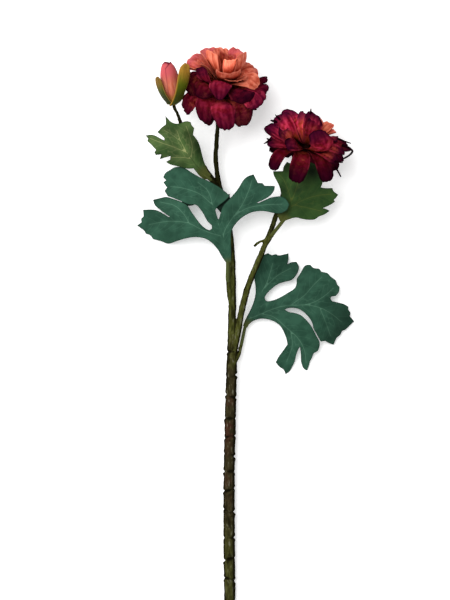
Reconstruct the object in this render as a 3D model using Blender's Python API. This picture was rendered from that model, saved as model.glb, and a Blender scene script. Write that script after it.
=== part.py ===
"""A cut zinnia spray, lying on a table: one knotted stem that forks to two double blooms and a bud, with
four lobed leaves.

Plan points are millimetres on a layout sheet, x to the right and y down from its top left corner. Heights
are millimetres above the table. The finished model is in metres, +Y along the stem towards the blooms and +Z
up, with its origin on the table under the middle of the spray.
"""

import math
import random

import bmesh
import bpy
import numpy as np
from mathutils.geometry import delaunay_2d_cdt

MM = 0.001

# The sheet point that lies over the origin.
SHEET_MIDDLE = (245.5, 325.0)

# Driving dimensions, in millimetres.
PETAL_THICKNESS = 0.8
LEAF_THICKNESS = 0.8
SEAT_GAP = 0.3
STEM_SIDES = 8
TWIG_SIDES = 6
RING_STEP = 13.0
PEG_RADIUS = 1.4
PEG_BORE = 1.75
NECK_RADIUS = 2.1
LEAF_GRID = 11.0
LEAF_MARGIN = 0.45
LEAF_GROWTH = 0.4
PLATE_EASE = 40.0
TABLE_SOFTNESS = 1.0
PETAL_LEVEL = 1.3
WELD = 0.01
SHARP_ANGLE = 40.0

# The shape that all petals share: how far along one is widest, how much it narrows to its tip, how square
# its tip is, how many waves its ruffle has, how much one side is raised over the next petal, and the cup at
# which its tip is no longer cut short at both sides.
PETAL_WIDEST = 0.70
PETAL_SQUARENESS = 2.2
RUFFLE_WAVES = 1.3
PETAL_ROLL = 0.12
FULL_CUP = 0.06

# Each stem is a list of (x, y, height, radius), from its foot to its tip.
MAIN_STEM = [
    (229.8, 603.0, 5.4, 5.7),
    (229.4, 575.0, 6.1, 5.7),
    (229.3, 540.0, 6.8, 5.7),
    (229.2, 500.0, 7.5, 5.7),
    (229.3, 465.0, 8.1, 5.7),
    (229.8, 435.0, 8.7, 5.6),
    (230.8, 400.0, 9.4, 5.6),
    (231.8, 365.0, 10.0, 5.3),
    (232.2, 345.0, 10.4, 4.8),
    (232.0, 320.0, 10.8, 4.0),
    (232.3, 300.0, 11.2, 3.9),
    (232.0, 270.0, 11.9, 3.6),
    (231.0, 245.0, 12.5, 3.3),
    (229.3, 226.0, 13.0, 2.9),
    (225.6, 208.0, 13.4, 2.6),
    (221.3, 192.0, 13.8, 2.5),
    (217.6, 176.0, 14.2, 2.4),
    (215.7, 160.0, 14.6, 2.4),
    (216.2, 147.0, 15.0, 2.3),
]
SIDE_STEM = [
    (233.0, 356.0, 10.2, 3.2),
    (237.0, 337.0, 11.6, 3.4),
    (240.4, 318.0, 13.2, 3.3),
    (244.8, 298.0, 15.0, 3.3),
    (250.8, 279.0, 16.8, 3.1),
    (258.4, 261.0, 18.5, 3.0),
    (265.0, 245.0, 20.2, 2.8),
    (271.2, 230.0, 22.0, 2.6),
    (276.0, 216.0, 24.0, 2.5),
    (281.6, 198.0, 26.4, 2.2),
    (286.6, 182.0, 29.4, 2.1),
]
BUD_STEM = [
    (218.0, 188.0, 13.4, 2.0),
    (213.5, 179.5, 13.4, 2.0),
    (207.5, 171.0, 14.6, 2.0),
    (201.5, 161.5, 17.0, 2.0),
    (195.5, 151.0, 21.0, 2.0),
    (189.6, 140.0, 25.0, 2.0),
    (182.9, 128.8, 29.6, 2.0),
    (180.0, 120.8, 38.6, 1.8),
    (177.2, 113.4, 48.6, 1.6),
]
TWIG = [
    (265.4, 240.0, 21.0, 1.4),
    (259.8, 241.8, 21.5, 1.3),
    (254.0, 246.2, 21.0, 1.2),
]
# The stubs that the leaves plug onto, from inside the stem to the leaf stalk's end.
LEAF_STUBS = {
    "upper_leaf": [(219.4, 187.0, 14.5, 2.0), (214.8, 183.0, 18.0, 2.0), (210.5, 179.4, 20.0, 1.9)],
    "middle_leaf": [(231.2, 306.0, 12.0, 2.4), (229.3, 294.0, 15.0, 2.3), (228.0, 281.0, 17.4, 2.2)],
    "right_leaf": [(263.8, 248.0, 20.6, 2.1), (267.8, 241.5, 23.6, 2.1), (272.2, 235.0, 26.2, 2.0)],
    "lower_leaf": [(234.4, 364.0, 9.8, 1.9), (239.4, 353.5, 9.0, 1.8), (241.3, 345.0, 8.2, 1.7)],
}
# Where the main stem is notched by a joint, as y on the sheet, and how wide and deep a joint is.
KNOTS = [352.0, 377.0, 397.0, 419.0, 437.0, 455.0, 472.0, 491.0, 512.0, 539.0, 560.0, 580.0]
KNOT_REACH = 3.0
KNOT_NOTCH = 0.13
KNOT_SWELL = 0.09

# A leaf's outline runs clockwise from its foot. Its heights are where the blade passes through, and its
# veins are plan points from the foot outwards, the first of which carries the stalk.
LEAVES = {
    "middle_leaf": {
        "outline": [
            (226.0, 262.0), (222.0, 256.0), (218.0, 249.0), (212.0, 242.3), (205.0, 238.0), (196.0, 236.5),
            (187.0, 237.5), (178.0, 240.0), (168.5, 243.0), (161.0, 240.5), (153.0, 238.5), (150.0, 234.5),
            (145.5, 233.0), (144.0, 230.0), (137.0, 225.0), (141.5, 222.0), (141.0, 218.5), (143.6, 216.0),
            (143.0, 209.5), (152.0, 209.5), (158.0, 211.0), (169.0, 217.4), (170.0, 216.2), (160.5, 209.5),
            (155.0, 204.5), (153.0, 199.5), (160.0, 198.0), (166.0, 197.0), (173.0, 199.0), (181.0, 202.0),
            (187.0, 205.5), (190.5, 211.0), (195.0, 217.5), (200.0, 224.0), (205.0, 228.5), (209.5, 230.5),
            (212.3, 228.5), (212.0, 225.0), (207.5, 220.5), (204.0, 214.0), (200.0, 208.0), (196.0, 204.3),
            (188.5, 203.6), (181.0, 200.4), (174.0, 197.6), (168.0, 195.5), (164.8, 190.5), (167.3, 187.0),
            (163.6, 182.0), (166.4, 179.8), (163.4, 176.8), (165.6, 172.8), (170.0, 170.0), (176.0, 167.0),
            (184.0, 168.0), (192.0, 173.0), (200.0, 177.5), (211.0, 182.5), (221.0, 188.5), (229.6, 195.6),
            (224.5, 200.5), (218.0, 205.5), (215.2, 209.5), (214.8, 213.5), (216.6, 217.8), (219.0, 219.4),
            (221.0, 213.0), (223.4, 206.0), (230.4, 198.4), (236.5, 191.5), (240.2, 186.0), (243.5, 180.5),
            (247.5, 176.8), (253.4, 174.6), (255.2, 178.5), (257.6, 183.2), (262.2, 183.4), (264.4, 186.0),
            (274.6, 186.2), (273.6, 190.5), (270.0, 195.2), (264.0, 199.0), (257.0, 202.2), (258.2, 203.4),
            (265.5, 200.2), (272.0, 197.6), (281.0, 196.8), (286.0, 199.6), (289.0, 204.6), (287.0, 209.6),
            (281.0, 212.8), (274.0, 212.6), (266.5, 211.0), (259.0, 210.6), (251.5, 212.0), (245.0, 215.0),
            (239.0, 219.5), (233.5, 226.0), (231.0, 232.0), (230.6, 240.0), (230.8, 250.0), (231.0, 262.0),
        ],
        "heights": [
            (228.5, 262.0, 20.0), (221.0, 238.0, 22.0), (219.0, 219.0, 23.5), (210.0, 195.0, 27.0),
            (222.0, 190.0, 24.5), (190.0, 182.0, 26.0), (166.0, 182.0, 19.0), (200.0, 229.0, 22.5),
            (178.0, 216.0, 19.0), (140.0, 224.0, 3.5), (158.0, 203.0, 10.0), (168.0, 241.0, 8.5),
            (232.0, 218.0, 27.0), (252.0, 178.0, 35.0), (252.0, 206.0, 33.0), (272.0, 190.0, 37.5),
            (286.0, 205.0, 38.0), (262.0, 210.0, 33.0),
        ],
        "veins": [
            [(228.2, 270.0), (227.6, 260.0), (224.6, 247.0), (221.4, 233.0), (217.0, 219.5), (212.8, 205.0),
             (208.0, 191.0), (198.0, 182.0)],
            [(222.0, 236.0), (210.0, 232.6), (199.0, 228.0), (187.0, 222.4), (168.0, 221.0), (149.0, 224.0)],
            [(190.0, 224.0), (183.0, 213.0), (174.0, 205.0), (160.0, 201.5)],
            [(212.8, 205.0), (200.0, 194.0), (184.0, 188.0), (170.0, 186.0)],
            [(223.0, 240.0), (225.0, 230.0), (233.0, 217.0), (242.0, 205.0), (249.0, 190.0), (252.0, 180.0)],
            [(233.0, 217.0), (246.0, 208.6), (262.0, 205.0), (282.0, 204.0)],
        ],
        "stalk": 2.1,
        "green": "blue_green",
    },
    "lower_leaf": {
        "outline": [
            (243.4, 326.0), (245.8, 320.0), (250.0, 312.0), (253.8, 303.0), (256.0, 294.0), (256.0, 286.0),
            (255.0, 279.0), (256.0, 270.0), (259.0, 261.0), (263.0, 256.0), (268.0, 253.2), (272.0, 255.4),
            (276.0, 254.4), (279.5, 255.6), (288.6, 253.4), (288.4, 259.0), (287.4, 264.4), (292.0, 262.4),
            (296.6, 262.0), (298.7, 266.0), (298.2, 270.5), (295.6, 275.5), (291.4, 279.6), (284.5, 281.4),
            (277.5, 284.0), (271.5, 288.5), (266.6, 293.4), (264.4, 297.4), (265.4, 300.6), (268.4, 301.6),
            (275.0, 300.2), (282.0, 297.0), (289.0, 292.8), (295.0, 288.8), (297.2, 284.0), (297.6, 279.0),
            (301.0, 273.6), (304.4, 267.4), (307.0, 265.2), (310.6, 265.0), (314.0, 268.2), (319.4, 268.8),
            (321.6, 272.0), (327.8, 273.4), (331.0, 277.0), (335.8, 280.4), (337.4, 284.6), (339.8, 287.0),
            (339.0, 292.0), (336.0, 295.6), (331.6, 296.2), (330.4, 298.8), (332.4, 301.6), (338.0, 302.8),
            (344.0, 304.4), (348.6, 306.8), (348.4, 309.6), (350.8, 313.0), (350.0, 316.4), (354.4, 321.4),
            (350.0, 325.4), (346.0, 329.2), (342.4, 331.0), (340.4, 334.8), (336.6, 338.2), (334.0, 344.6),
            (329.6, 343.0), (325.6, 340.6), (321.4, 341.4), (317.8, 335.0), (314.2, 328.4), (313.2, 323.6),
            (310.0, 318.0), (305.0, 312.4), (299.0, 308.6), (292.0, 307.4), (287.6, 308.0), (284.6, 309.6),
            (289.0, 312.4), (295.0, 313.4), (300.4, 315.4), (304.6, 318.6), (309.0, 323.4), (312.6, 328.6),
            (316.0, 335.4), (319.6, 342.0), (319.4, 347.0), (318.0, 351.0), (313.8, 353.2), (312.0, 358.0),
            (310.2, 361.4), (309.0, 366.0), (307.4, 370.6), (304.2, 368.4), (302.0, 362.4), (301.6, 354.0),
            (300.4, 346.6), (298.0, 350.0), (296.0, 356.0), (294.6, 362.0), (292.0, 367.6), (289.4, 371.6),
            (286.0, 374.2), (284.4, 370.0), (279.6, 366.4), (276.4, 362.6), (279.0, 357.6), (283.4, 351.6),
            (288.2, 344.6), (287.0, 338.6), (284.0, 331.0), (280.6, 325.6), (275.6, 321.8), (269.0, 319.2),
            (261.6, 318.4), (254.6, 320.0), (249.6, 323.4), (247.0, 327.6),
        ],
        "heights": [
            (245.0, 325.0, 8.0), (256.0, 302.0, 7.5), (261.0, 290.0, 7.0), (258.0, 266.0, 8.0),
            (274.0, 258.0, 9.0), (295.0, 268.0, 4.0), (278.0, 305.0, 13.0), (305.0, 297.0, 17.0),
            (308.0, 268.0, 10.0), (336.0, 288.0, 7.0), (325.0, 310.0, 15.0), (352.0, 320.0, 3.0),
            (333.0, 342.0, 5.0), (292.0, 328.0, 13.0), (308.0, 340.0, 12.0), (306.0, 368.0, 2.0),
            (284.0, 368.0, 2.0), (265.0, 319.0, 8.5),
        ],
        "veins": [
            [(244.6, 330.0), (246.4, 323.0), (251.6, 314.0), (257.0, 303.0), (262.0, 292.0), (268.0, 280.0),
             (273.0, 263.0)],
            [(248.0, 319.6), (258.0, 315.4), (269.0, 310.6), (282.0, 306.4), (296.0, 305.4), (306.0, 305.0),
             (320.0, 307.6), (332.0, 314.0), (342.0, 322.0)],
            [(265.0, 288.0), (277.0, 276.0), (291.0, 268.0)],
            [(290.0, 305.6), (304.0, 296.0), (314.0, 285.0), (322.0, 277.0)],
            [(304.0, 305.0), (316.0, 301.4), (326.0, 295.0), (334.0, 288.0)],
            [(262.0, 314.0), (274.0, 317.0), (286.0, 327.0), (298.0, 338.0), (304.6, 350.0), (306.6, 363.0)],
            [(291.0, 332.0), (292.6, 346.0), (287.0, 362.0)],
            [(320.0, 307.6), (326.0, 322.0), (331.0, 336.0)],
        ],
        "stalk": 1.7,
        "green": "blue_green",
    },
    "right_leaf": {
        "outline": [
            (281.0, 222.0), (277.6, 215.0), (281.0, 207.0), (282.0, 200.0), (281.6, 194.0), (280.0, 186.6),
            (276.6, 179.6), (274.2, 175.0), (273.4, 171.4), (278.4, 171.6), (283.2, 171.4), (284.2, 166.6),
            (287.0, 162.4), (293.0, 164.4), (299.0, 162.4), (305.0, 165.0), (311.0, 162.6), (315.6, 165.0),
            (318.4, 172.0), (322.0, 179.6), (321.8, 184.0), (320.4, 187.4), (325.0, 188.4), (332.4, 188.4),
            (333.4, 191.2), (338.0, 194.6), (335.4, 197.8), (333.6, 199.6), (334.8, 201.4), (329.6, 204.6),
            (322.4, 208.0), (326.0, 209.2), (329.4, 210.6), (325.0, 213.6), (319.0, 216.0), (314.6, 218.8),
            (308.6, 219.2), (302.6, 218.4), (296.0, 217.0), (290.0, 218.4),
        ],
        "heights": [
            (279.5, 218.0, 29.6), (289.0, 213.0, 31.0), (284.0, 200.0, 31.0), (276.0, 174.0, 35.0),
            (289.0, 190.0, 36.0), (288.0, 165.0, 42.0), (314.0, 166.0, 42.5), (304.0, 195.0, 38.0),
            (318.0, 186.0, 36.0), (336.0, 194.5, 28.0), (328.0, 210.0, 25.0), (312.0, 217.0, 26.0),
        ],
        "veins": [
            [(281.0, 223.6), (285.6, 217.4), (289.8, 209.0), (292.4, 200.0), (297.0, 186.0), (301.0, 172.0)],
            [(291.6, 204.0), (289.0, 192.0), (284.0, 180.0), (279.0, 174.0)],
            [(291.0, 207.0), (303.0, 200.0), (317.0, 195.4), (331.0, 194.0)],
            [(295.0, 205.0), (308.0, 207.6), (322.0, 211.0)],
        ],
        "stalk": 1.9,
        "green": "mid_green",
    },
    "upper_leaf": {
        "outline": [
            (204.6, 179.0), (200.0, 175.4), (196.4, 171.2), (193.6, 167.8), (187.6, 168.0), (181.6, 166.6),
            (175.0, 165.0), (170.0, 163.6), (166.4, 161.6), (170.4, 159.6), (170.8, 155.4), (164.4, 157.0),
            (160.0, 158.8), (161.6, 153.8), (156.0, 154.4), (154.8, 152.0), (156.4, 149.6), (152.0, 144.6),
            (147.6, 140.6), (148.4, 138.0), (145.8, 135.2), (150.6, 134.8), (155.4, 136.0), (160.6, 139.0),
            (164.6, 140.6), (164.8, 137.8), (161.2, 134.4), (157.6, 132.0), (162.0, 127.6), (166.2, 124.6),
            (166.2, 120.0), (165.4, 116.0), (168.0, 119.4), (170.6, 122.0), (174.6, 123.8), (179.4, 124.0),
            (183.0, 122.4), (187.0, 121.6), (190.4, 122.4), (191.4, 125.4), (193.8, 128.0), (192.6, 134.6),
            (197.0, 140.4), (199.4, 146.0), (201.2, 153.0), (203.2, 160.4), (205.6, 166.4), (207.4, 171.0),
            (210.4, 174.4), (208.6, 177.8),
        ],
        "heights": [
            (203.0, 174.0, 24.0), (196.0, 164.0, 29.0), (204.0, 165.0, 25.0), (187.0, 152.0, 36.5),
            (199.0, 147.0, 29.5), (180.0, 140.0, 41.0), (191.0, 128.0, 38.0), (176.0, 126.0, 40.0),
            (166.0, 119.0, 39.0), (160.0, 131.0, 34.0), (148.0, 137.0, 26.0), (158.0, 152.0, 30.0),
            (170.0, 162.0, 29.0), (186.0, 166.5, 30.0),
        ],
        "veins": [
            [(207.0, 177.0), (202.0, 172.6), (197.0, 166.6), (191.6, 159.0), (186.0, 151.0), (181.0, 141.6),
             (176.6, 130.0)],
            [(187.0, 152.6), (174.0, 147.0), (160.0, 142.0), (150.0, 138.0)],
            [(191.0, 158.0), (192.0, 146.0), (189.0, 134.0), (186.0, 126.0)],
            [(191.0, 158.4), (180.0, 157.0), (168.0, 157.6)],
            [(181.0, 141.6), (171.0, 134.0), (164.0, 130.0)],
        ],
        "stalk": 1.8,
        "green": "olive_green",
    },
}
VEIN_SINK = 1.1
VEIN_SPREAD = 5.0
RIB_SHARE = 0.72

# A bloom's seat is the middle of its receptacle and its axis is (right, up the sheet, above the table).
# "core" is the radius of its hub, "claw" the share of its width that a petal keeps at its root, and
# "narrowing" the share that it loses towards its tip. "parting" is the surface between its outer and inner
# petals: how high it starts above the seat, and how fast it climbs away from the hub, with what is added to
# the front and to the left. "swells" lift or lower it round a point: (right, front, height, spread). Each
# petal is (rise of its claw above the seat, the point it bends towards, its tip, width, cup, degrees its
# face is turned to the viewer, and for some a narrowing of its own), and a whorl repeats one petal round the
# hidden side.
BLOOMS = {
    "large_bloom": {
        "seat": (222.0, 100.0, 36.0),
        "axis": (0.16, 0.87, 0.46),
        "core": 9.5,
        "parting": (17.0, 0.30, 0.36, 0.0),
        "swells": [(-25.0, 16.0, 15.0, 9.5), (33.0, 17.0, -6.0, 10.0), (-2.0, 24.0, 4.5, 8.0)],
        "claw": 0.36,
        "narrowing": 0.12,
        "outer": [
            (2.0, (220.0, 96.0, 84.0), (227.0, 130.5, 60.0), 25.0, -0.045, 0),
            (12.0, (221.0, 67.0, 80.0), (219.5, 101.5, 80.0), 23.5, -0.045, 0, 0.55),
            (4.0, (203.0, 90.0, 76.0), (204.0, 122.5, 54.0), 24.0, -0.040, 10),
            (5.0, (188.0, 88.0, 56.0), (185.0, 112.0, 34.0), 25.0, -0.020, 20),
            (1.0, (206.0, 98.0, 66.0), (205.0, 123.4, 40.0), 26.0, -0.010, 0),
            (5.0, (252.0, 84.0, 68.0), (261.5, 105.0, 50.0), 32.0, -0.030, 10),
            (3.0, (242.0, 94.0, 76.0), (244.0, 126.0, 48.0), 27.0, -0.035, 10),
            (10.0, (254.0, 73.0, 48.0), (267.5, 78.0, 34.0), 15.0, 0.010, 30),
            (8.0, (255.0, 80.0, 60.0), (267.0, 92.0, 44.0), 20.0, 0.000, 30),
            (9.0, (199.0, 72.0, 64.0), (187.0, 92.0, 48.0), 27.0, -0.010, 20),
            (11.0, (206.0, 76.0, 74.0), (200.0, 99.0, 68.0), 24.0, -0.030, 10),
            (9.0, (240.0, 80.0, 76.0), (247.0, 103.0, 66.0), 28.0, -0.025, 10),
            (8.0, (246.0, 74.0, 38.0), (254.0, 61.5, 30.0), 14.0, 0.010, 30),
            (8.0, (196.0, 80.0, 38.0), (182.0, 78.0, 22.0), 26.0, 0.000, 20),
            (12.0, (203.0, 85.0, 74.0), (201.0, 67.0, 70.0), 21.0, -0.020, 0),
        ],
        "outer_whorls": [
            {"petals": 5, "turn": (206.0, 328.0), "claw": 2.0, "bend": (34.0, 9.0), "tip": (38.0, -13.0),
             "width": 30.0, "cup": -0.005},
            {"petals": 3, "turn": (215.0, 325.0), "claw": 9.0, "bend": (26.0, 22.0), "tip": (42.0, 14.0),
             "width": 28.0, "cup": -0.005},
        ],
        "inner": [
            (19.0, (206.0, 60.0, 58.0), (191.0, 57.0, 38.0), 28.0, -0.020, 20),
            (18.0, (203.0, 69.0, 58.0), (186.5, 69.0, 38.0), 25.0, -0.010, 25),
            (19.0, (215.0, 58.0, 62.0), (209.0, 48.0, 40.0), 27.0, -0.010, 10),
            (20.0, (226.0, 58.0, 60.0), (221.5, 48.0, 44.0), 23.0, -0.020, 0),
            (19.0, (237.0, 58.0, 66.0), (236.0, 48.5, 44.0), 19.0, -0.030, 0),
            (18.0, (245.0, 70.0, 62.0), (255.0, 74.5, 44.0), 20.0, -0.010, 20),
            (18.0, (245.0, 75.0, 72.0), (257.0, 88.0, 60.0), 23.0, -0.020, 20),
            (19.0, (207.0, 71.0, 62.0), (199.0, 62.0, 56.0), 22.0, 0.010, 0),
            (20.0, (234.0, 81.0, 66.0), (239.0, 82.0, 74.0), 24.0, 0.020, 0),
            (21.0, (227.0, 85.0, 68.0), (228.0, 75.0, 80.0), 31.0, 0.075, 0),
            (22.0, (211.0, 72.0, 64.0), (210.0, 52.0, 72.0), 17.0, 0.050, 0),
            (22.0, (246.0, 71.0, 66.0), (243.0, 54.0, 70.0), 23.0, 0.045, 0),
            (24.0, (226.0, 63.0, 58.0), (226.0, 55.0, 67.0), 23.0, 0.045, 0),
            (25.0, (231.0, 76.0, 68.0), (231.0, 61.5, 79.0), 17.0, 0.080, 0),
        ],
        "inner_whorls": [
            {"petals": 3, "turn": (220.0, 320.0), "claw": 19.0, "bend": (22.0, 30.0), "tip": (34.0, 32.0),
             "width": 30.0, "cup": -0.005},
        ],
        "ruffle": 1.5,
        "shoulder": 0.17,
        "columns": 4,
        "seed": 4,
    },
    "small_bloom": {
        "seat": (303.0, 151.0, 36.0),
        "axis": (0.38, 0.92, 0.08),
        "core": 8.0,
        "parting": (11.0, 0.85, 0.45, 0.55),
        "swells": [],
        "claw": 0.32,
        "narrowing": 0.08,
        "outer": [
            (0.0, (277.0, 146.0, 56.0), (273.0, 170.5, 50.0), 14.0, 0.040, 30, 0.28),
            (0.0, (303.5, 149.0, 80.0), (295.0, 182.5, 62.0), 19.5, 0.045, 0, 0.32),
            (0.0, (321.0, 148.0, 70.0), (327.0, 182.0, 56.0), 17.0, 0.040, 20, 0.26),
            (3.0, (282.0, 138.0, 46.0), (267.0, 125.5, 36.0), 16.0, 0.020, 60),
            (4.0, (284.0, 134.0, 66.0), (270.0, 125.0, 50.0), 18.0, -0.010, 60),
            (2.0, (284.0, 142.0, 50.0), (268.0, 141.5, 42.0), 15.0, 0.020, 50),
            (5.0, (285.0, 128.0, 64.0), (279.0, 115.0, 52.0), 19.0, 0.020, -40),
            (6.0, (293.0, 125.0, 70.0), (290.5, 110.0, 48.0), 22.0, 0.020, -30),
            (6.0, (304.5, 129.0, 80.0), (305.0, 112.0, 60.0), 15.5, -0.030, 0),
            (5.0, (310.5, 131.0, 80.0), (313.0, 112.5, 69.0), 16.0, 0.010, 0),
            (5.0, (313.0, 133.0, 82.0), (316.0, 118.0, 68.0), 16.0, 0.010, 0),
            (2.0, (330.0, 158.0, 84.0), (317.0, 131.0, 77.0), 25.0, 0.050, 0),
            (2.0, (334.0, 140.0, 58.0), (350.5, 150.5, 42.0), 11.0, -0.010, 50, 0.70),
            (3.0, (334.0, 139.0, 40.0), (348.0, 146.0, 28.0), 12.0, 0.010, 50, 0.70),
            (1.0, (331.0, 146.0, 62.0), (343.0, 161.5, 46.0), 12.0, -0.010, 40, 0.65),
            (0.0, (327.0, 148.0, 54.0), (336.0, 170.0, 46.0), 13.0, 0.010, 40),
            (2.0, (331.0, 143.0, 70.0), (344.0, 155.0, 58.0), 10.0, 0.020, 50, 0.70),
            (1.0, (326.0, 151.0, 72.0), (337.0, 164.0, 60.0), 11.0, 0.020, 30, 0.60),
            (3.0, (289.0, 140.0, 76.0), (280.0, 130.0, 68.0), 17.0, 0.020, 75),
            (1.0, (297.0, 144.0, 78.0), (285.0, 145.5, 74.0), 13.0, 0.030, 60),
            (5.0, (326.0, 131.0, 54.0), (338.0, 137.5, 46.0), 18.0, 0.010, 40),
        ],
        "outer_whorls": [
            {"petals": 5, "turn": (206.0, 338.0), "claw": 0.0, "bend": (28.0, 5.0), "tip": (31.0, -14.0),
             "width": 20.0, "cup": 0.010},
            {"petals": 4, "turn": (206.0, 334.0), "claw": 3.0, "bend": (26.0, 16.0), "tip": (42.0, 12.0),
             "width": 20.0, "cup": 0.010},
            {"petals": 3, "turn": (208.0, 332.0), "claw": 6.0, "bend": (15.0, 21.0), "tip": (24.0, 30.5),
             "width": 20.0, "cup": 0.020},
        ],
        "inner": [
            (13.0, (318.0, 130.0, 46.0), (322.0, 120.0, 40.0), 16.0, 0.020, 0),
            (13.0, (321.0, 132.0, 38.0), (331.0, 123.0, 32.0), 17.0, 0.020, 20),
            (13.0, (323.0, 136.0, 44.0), (335.0, 131.0, 42.0), 16.0, 0.020, 30),
            (13.0, (313.0, 128.0, 36.0), (313.0, 119.5, 32.0), 14.0, 0.020, 0),
            (15.0, (317.0, 130.0, 38.0), (318.0, 121.0, 36.0), 13.0, 0.070, 0),
        ],
        "inner_whorls": [
            {"petals": 3, "turn": (225.0, 315.0), "claw": 13.0, "bend": (10.0, 24.0), "tip": (17.0, 32.0),
             "width": 16.0, "cup": 0.020},
        ],
        "ruffle": 0.6,
        "shoulder": 0.10,
        "columns": 2,
        "seed": 9,
    },
}
CALYX_DEPTH = 12.0
CALYX_TOP = -3.6
# A calyx from its top down: radii at its foot, and shares of the core's radius at its rim, with their rises.
CALYX_FOOT = [(2.6, -CALYX_DEPTH), (4.4, -9.0)]
CALYX_RIM = [(0.66, -4.0), (0.78, 0.0)]
# The outer petals' hub and the inner petals' heart, as shares of the core's radius with their rises: over
# the calyx for the hub's foot, and over the parting's start for the others.
HUB_FOOT = [(0.8, 0.0), (1.0, 2.0)]
HUB_HEAD = [(1.0, -4.0), (0.7, -SEAT_GAP)]
HEART = [(0.6, 0.0), (0.62, 5.0), (0.4, 11.0)]
# How far a bloom's peg goes down into the stem and up past the parting's start, and the same for its bore.
PEG_SINK = 6.0
PEG_REACH = 4.5
BORE_SINK = 5.0
BORE_REACH = 6.0
PARTING_GAP = 1.0
PARTING_SOFTNESS = 0.6
# The parting's leans begin this far to the front and to the left of the axis, and ease in over this length.
PARTING_FRONT = 5.0
PARTING_LEFT = 3.0
PARTING_EASE = 2.0
# How far from the axis a petal's root is sunk in the hub.
ROOT_REACH = 3.0
HUB_SIDES = 12
BORE_SIDES = 8

BUD_SEAT = (173.3, 101.4, 53.0)
BUD_AXIS = (-0.16, 0.97, 0.14)
BUD_LENGTH = 40.0
BUD_CUP_DEPTH = 4.2
BUD_RADIUS = 10.0
# The bud's green cup, as radii with their rises over the bud's seat, and the end of its stalk under it.
BUD_CUP = [(2.4, -BUD_CUP_DEPTH), (4.6, -3.0), (6.2, -1.2), (5.4, 0.0)]
BUD_STALK_RADIUS = 1.6
BUD_STALK_END = 2.5
BUD_TURNS = (30.0, 150.0, 270.0)
BUD_WRAP = 200.0
BUD_CORE = 0.90
# The bud's sepals, laid out like petals.
BUD_SEPALS = [
    (-3.3, (184.0, 94.0, 76.0), (187.0, 64.5, 62.0), 18.0, 0.045, 0),
    (-3.3, (160.5, 97.0, 64.0), (157.0, 77.5, 60.0), 13.0, 0.040, 0),
    (-3.3, (172.0, 100.0, 36.0), (169.0, 74.0, 42.0), 15.0, 0.040, 0),
]

MATERIALS = {
    "bark": ((0.075, 0.070, 0.028), 0.70),
    "blue_green": ((0.030, 0.115, 0.080), 0.62),
    "mid_green": ((0.040, 0.095, 0.030), 0.62),
    "olive_green": ((0.085, 0.135, 0.040), 0.62),
    "yellow_green": ((0.100, 0.130, 0.020), 0.60),
    "burgundy": ((0.150, 0.006, 0.022), 0.68),
    "peach": ((0.600, 0.170, 0.115), 0.68),
    "salmon": ((0.640, 0.210, 0.165), 0.66),
}


def spot(x, y, height):
    """The model point, in millimetres, over a point of the layout sheet."""
    return np.array([x - SHEET_MIDDLE[0], SHEET_MIDDLE[1] - y, height])


def unit(vector):
    return np.asarray(vector, float) / np.linalg.norm(vector)


def soft_max(a, b, softness):
    """A smooth curve that stays above both a and b."""
    return (a + b + np.sqrt((a - b) ** 2 + 4 * softness**2)) / 2


def soft_min(a, b, softness):
    return -soft_max(-a, -b, softness)


def smooth_line(points, step):
    """Points about a step apart on a Catmull-Rom curve through the given points, of any width."""
    given = np.asarray(points, float)
    padded = np.vstack([2 * given[0] - given[1], given, 2 * given[-1] - given[-2]])
    found = []
    for i in range(1, len(padded) - 2):
        a, b, c, d = padded[i - 1 : i + 3]
        pieces = max(1, round(np.linalg.norm((c - b)[:3]) / step))
        for k in range(pieces):
            t = k / pieces
            turn = (2 * a - 5 * b + 4 * c - d) * t**2 + (3 * b - a - 3 * c + d) * t**3
            found.append(0.5 * (2 * b + (c - a) * t + turn))
    found.append(given[-1])
    return np.array(found)


def material(name):
    colour, roughness = MATERIALS[name]
    made = bpy.data.materials.get(name) or bpy.data.materials.new(name)
    made.use_nodes = True
    shader = made.node_tree.nodes["Principled BSDF"]
    shader.inputs["Base Color"].default_value = (*colour, 1.0)
    shader.inputs["Roughness"].default_value = roughness
    shader.inputs["Metallic"].default_value = 0.0
    return made


def new_object(name, shape, material_name):
    """An object from (points in millimetres, faces), with its faces turned outwards."""
    points, faces = shape
    mesh = bpy.data.meshes.new(name)
    mesh.from_pydata([tuple(p * MM) for p in points], [], [tuple(f) for f in faces])
    work = bmesh.new()
    work.from_mesh(mesh)
    bmesh.ops.recalc_face_normals(work, faces=work.faces)
    if work.calc_volume(signed=True) < 0:
        bmesh.ops.reverse_faces(work, faces=work.faces)
    work.to_mesh(mesh)
    work.free()
    mesh.materials.append(material(material_name))
    mesh.shade_smooth()
    mesh.set_sharp_from_angle(angle=math.radians(SHARP_ANGLE))
    made = bpy.data.objects.new(name, mesh)
    bpy.context.scene.collection.objects.link(made)
    return made


def apply_modifier(target, kind, **settings):
    modifier = target.modifiers.new(kind.title(), kind)
    for key, value in settings.items():
        setattr(modifier, key, value)
    with bpy.context.temp_override(object=target, active_object=target, selected_objects=[target]):
        bpy.ops.object.modifier_apply(modifier=modifier.name)


def keep_largest_body(mesh):
    """Drop loose scraps and fill sealed hollows: both are bodies apart from the largest."""
    work = bmesh.new()
    work.from_mesh(mesh)
    left = set(work.verts)
    bodies = []
    while left:
        found, front = set(), {left.pop()}
        while front:
            found |= front
            front = {edge.other_vert(v) for v in front for edge in v.link_edges} - found
        left -= found
        bodies.append(found)
    largest = max(bodies, key=len)
    for found in bodies:
        if found is not largest:
            bmesh.ops.delete(work, geom=list(found), context="VERTS")
    work.to_mesh(mesh)
    work.free()


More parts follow.
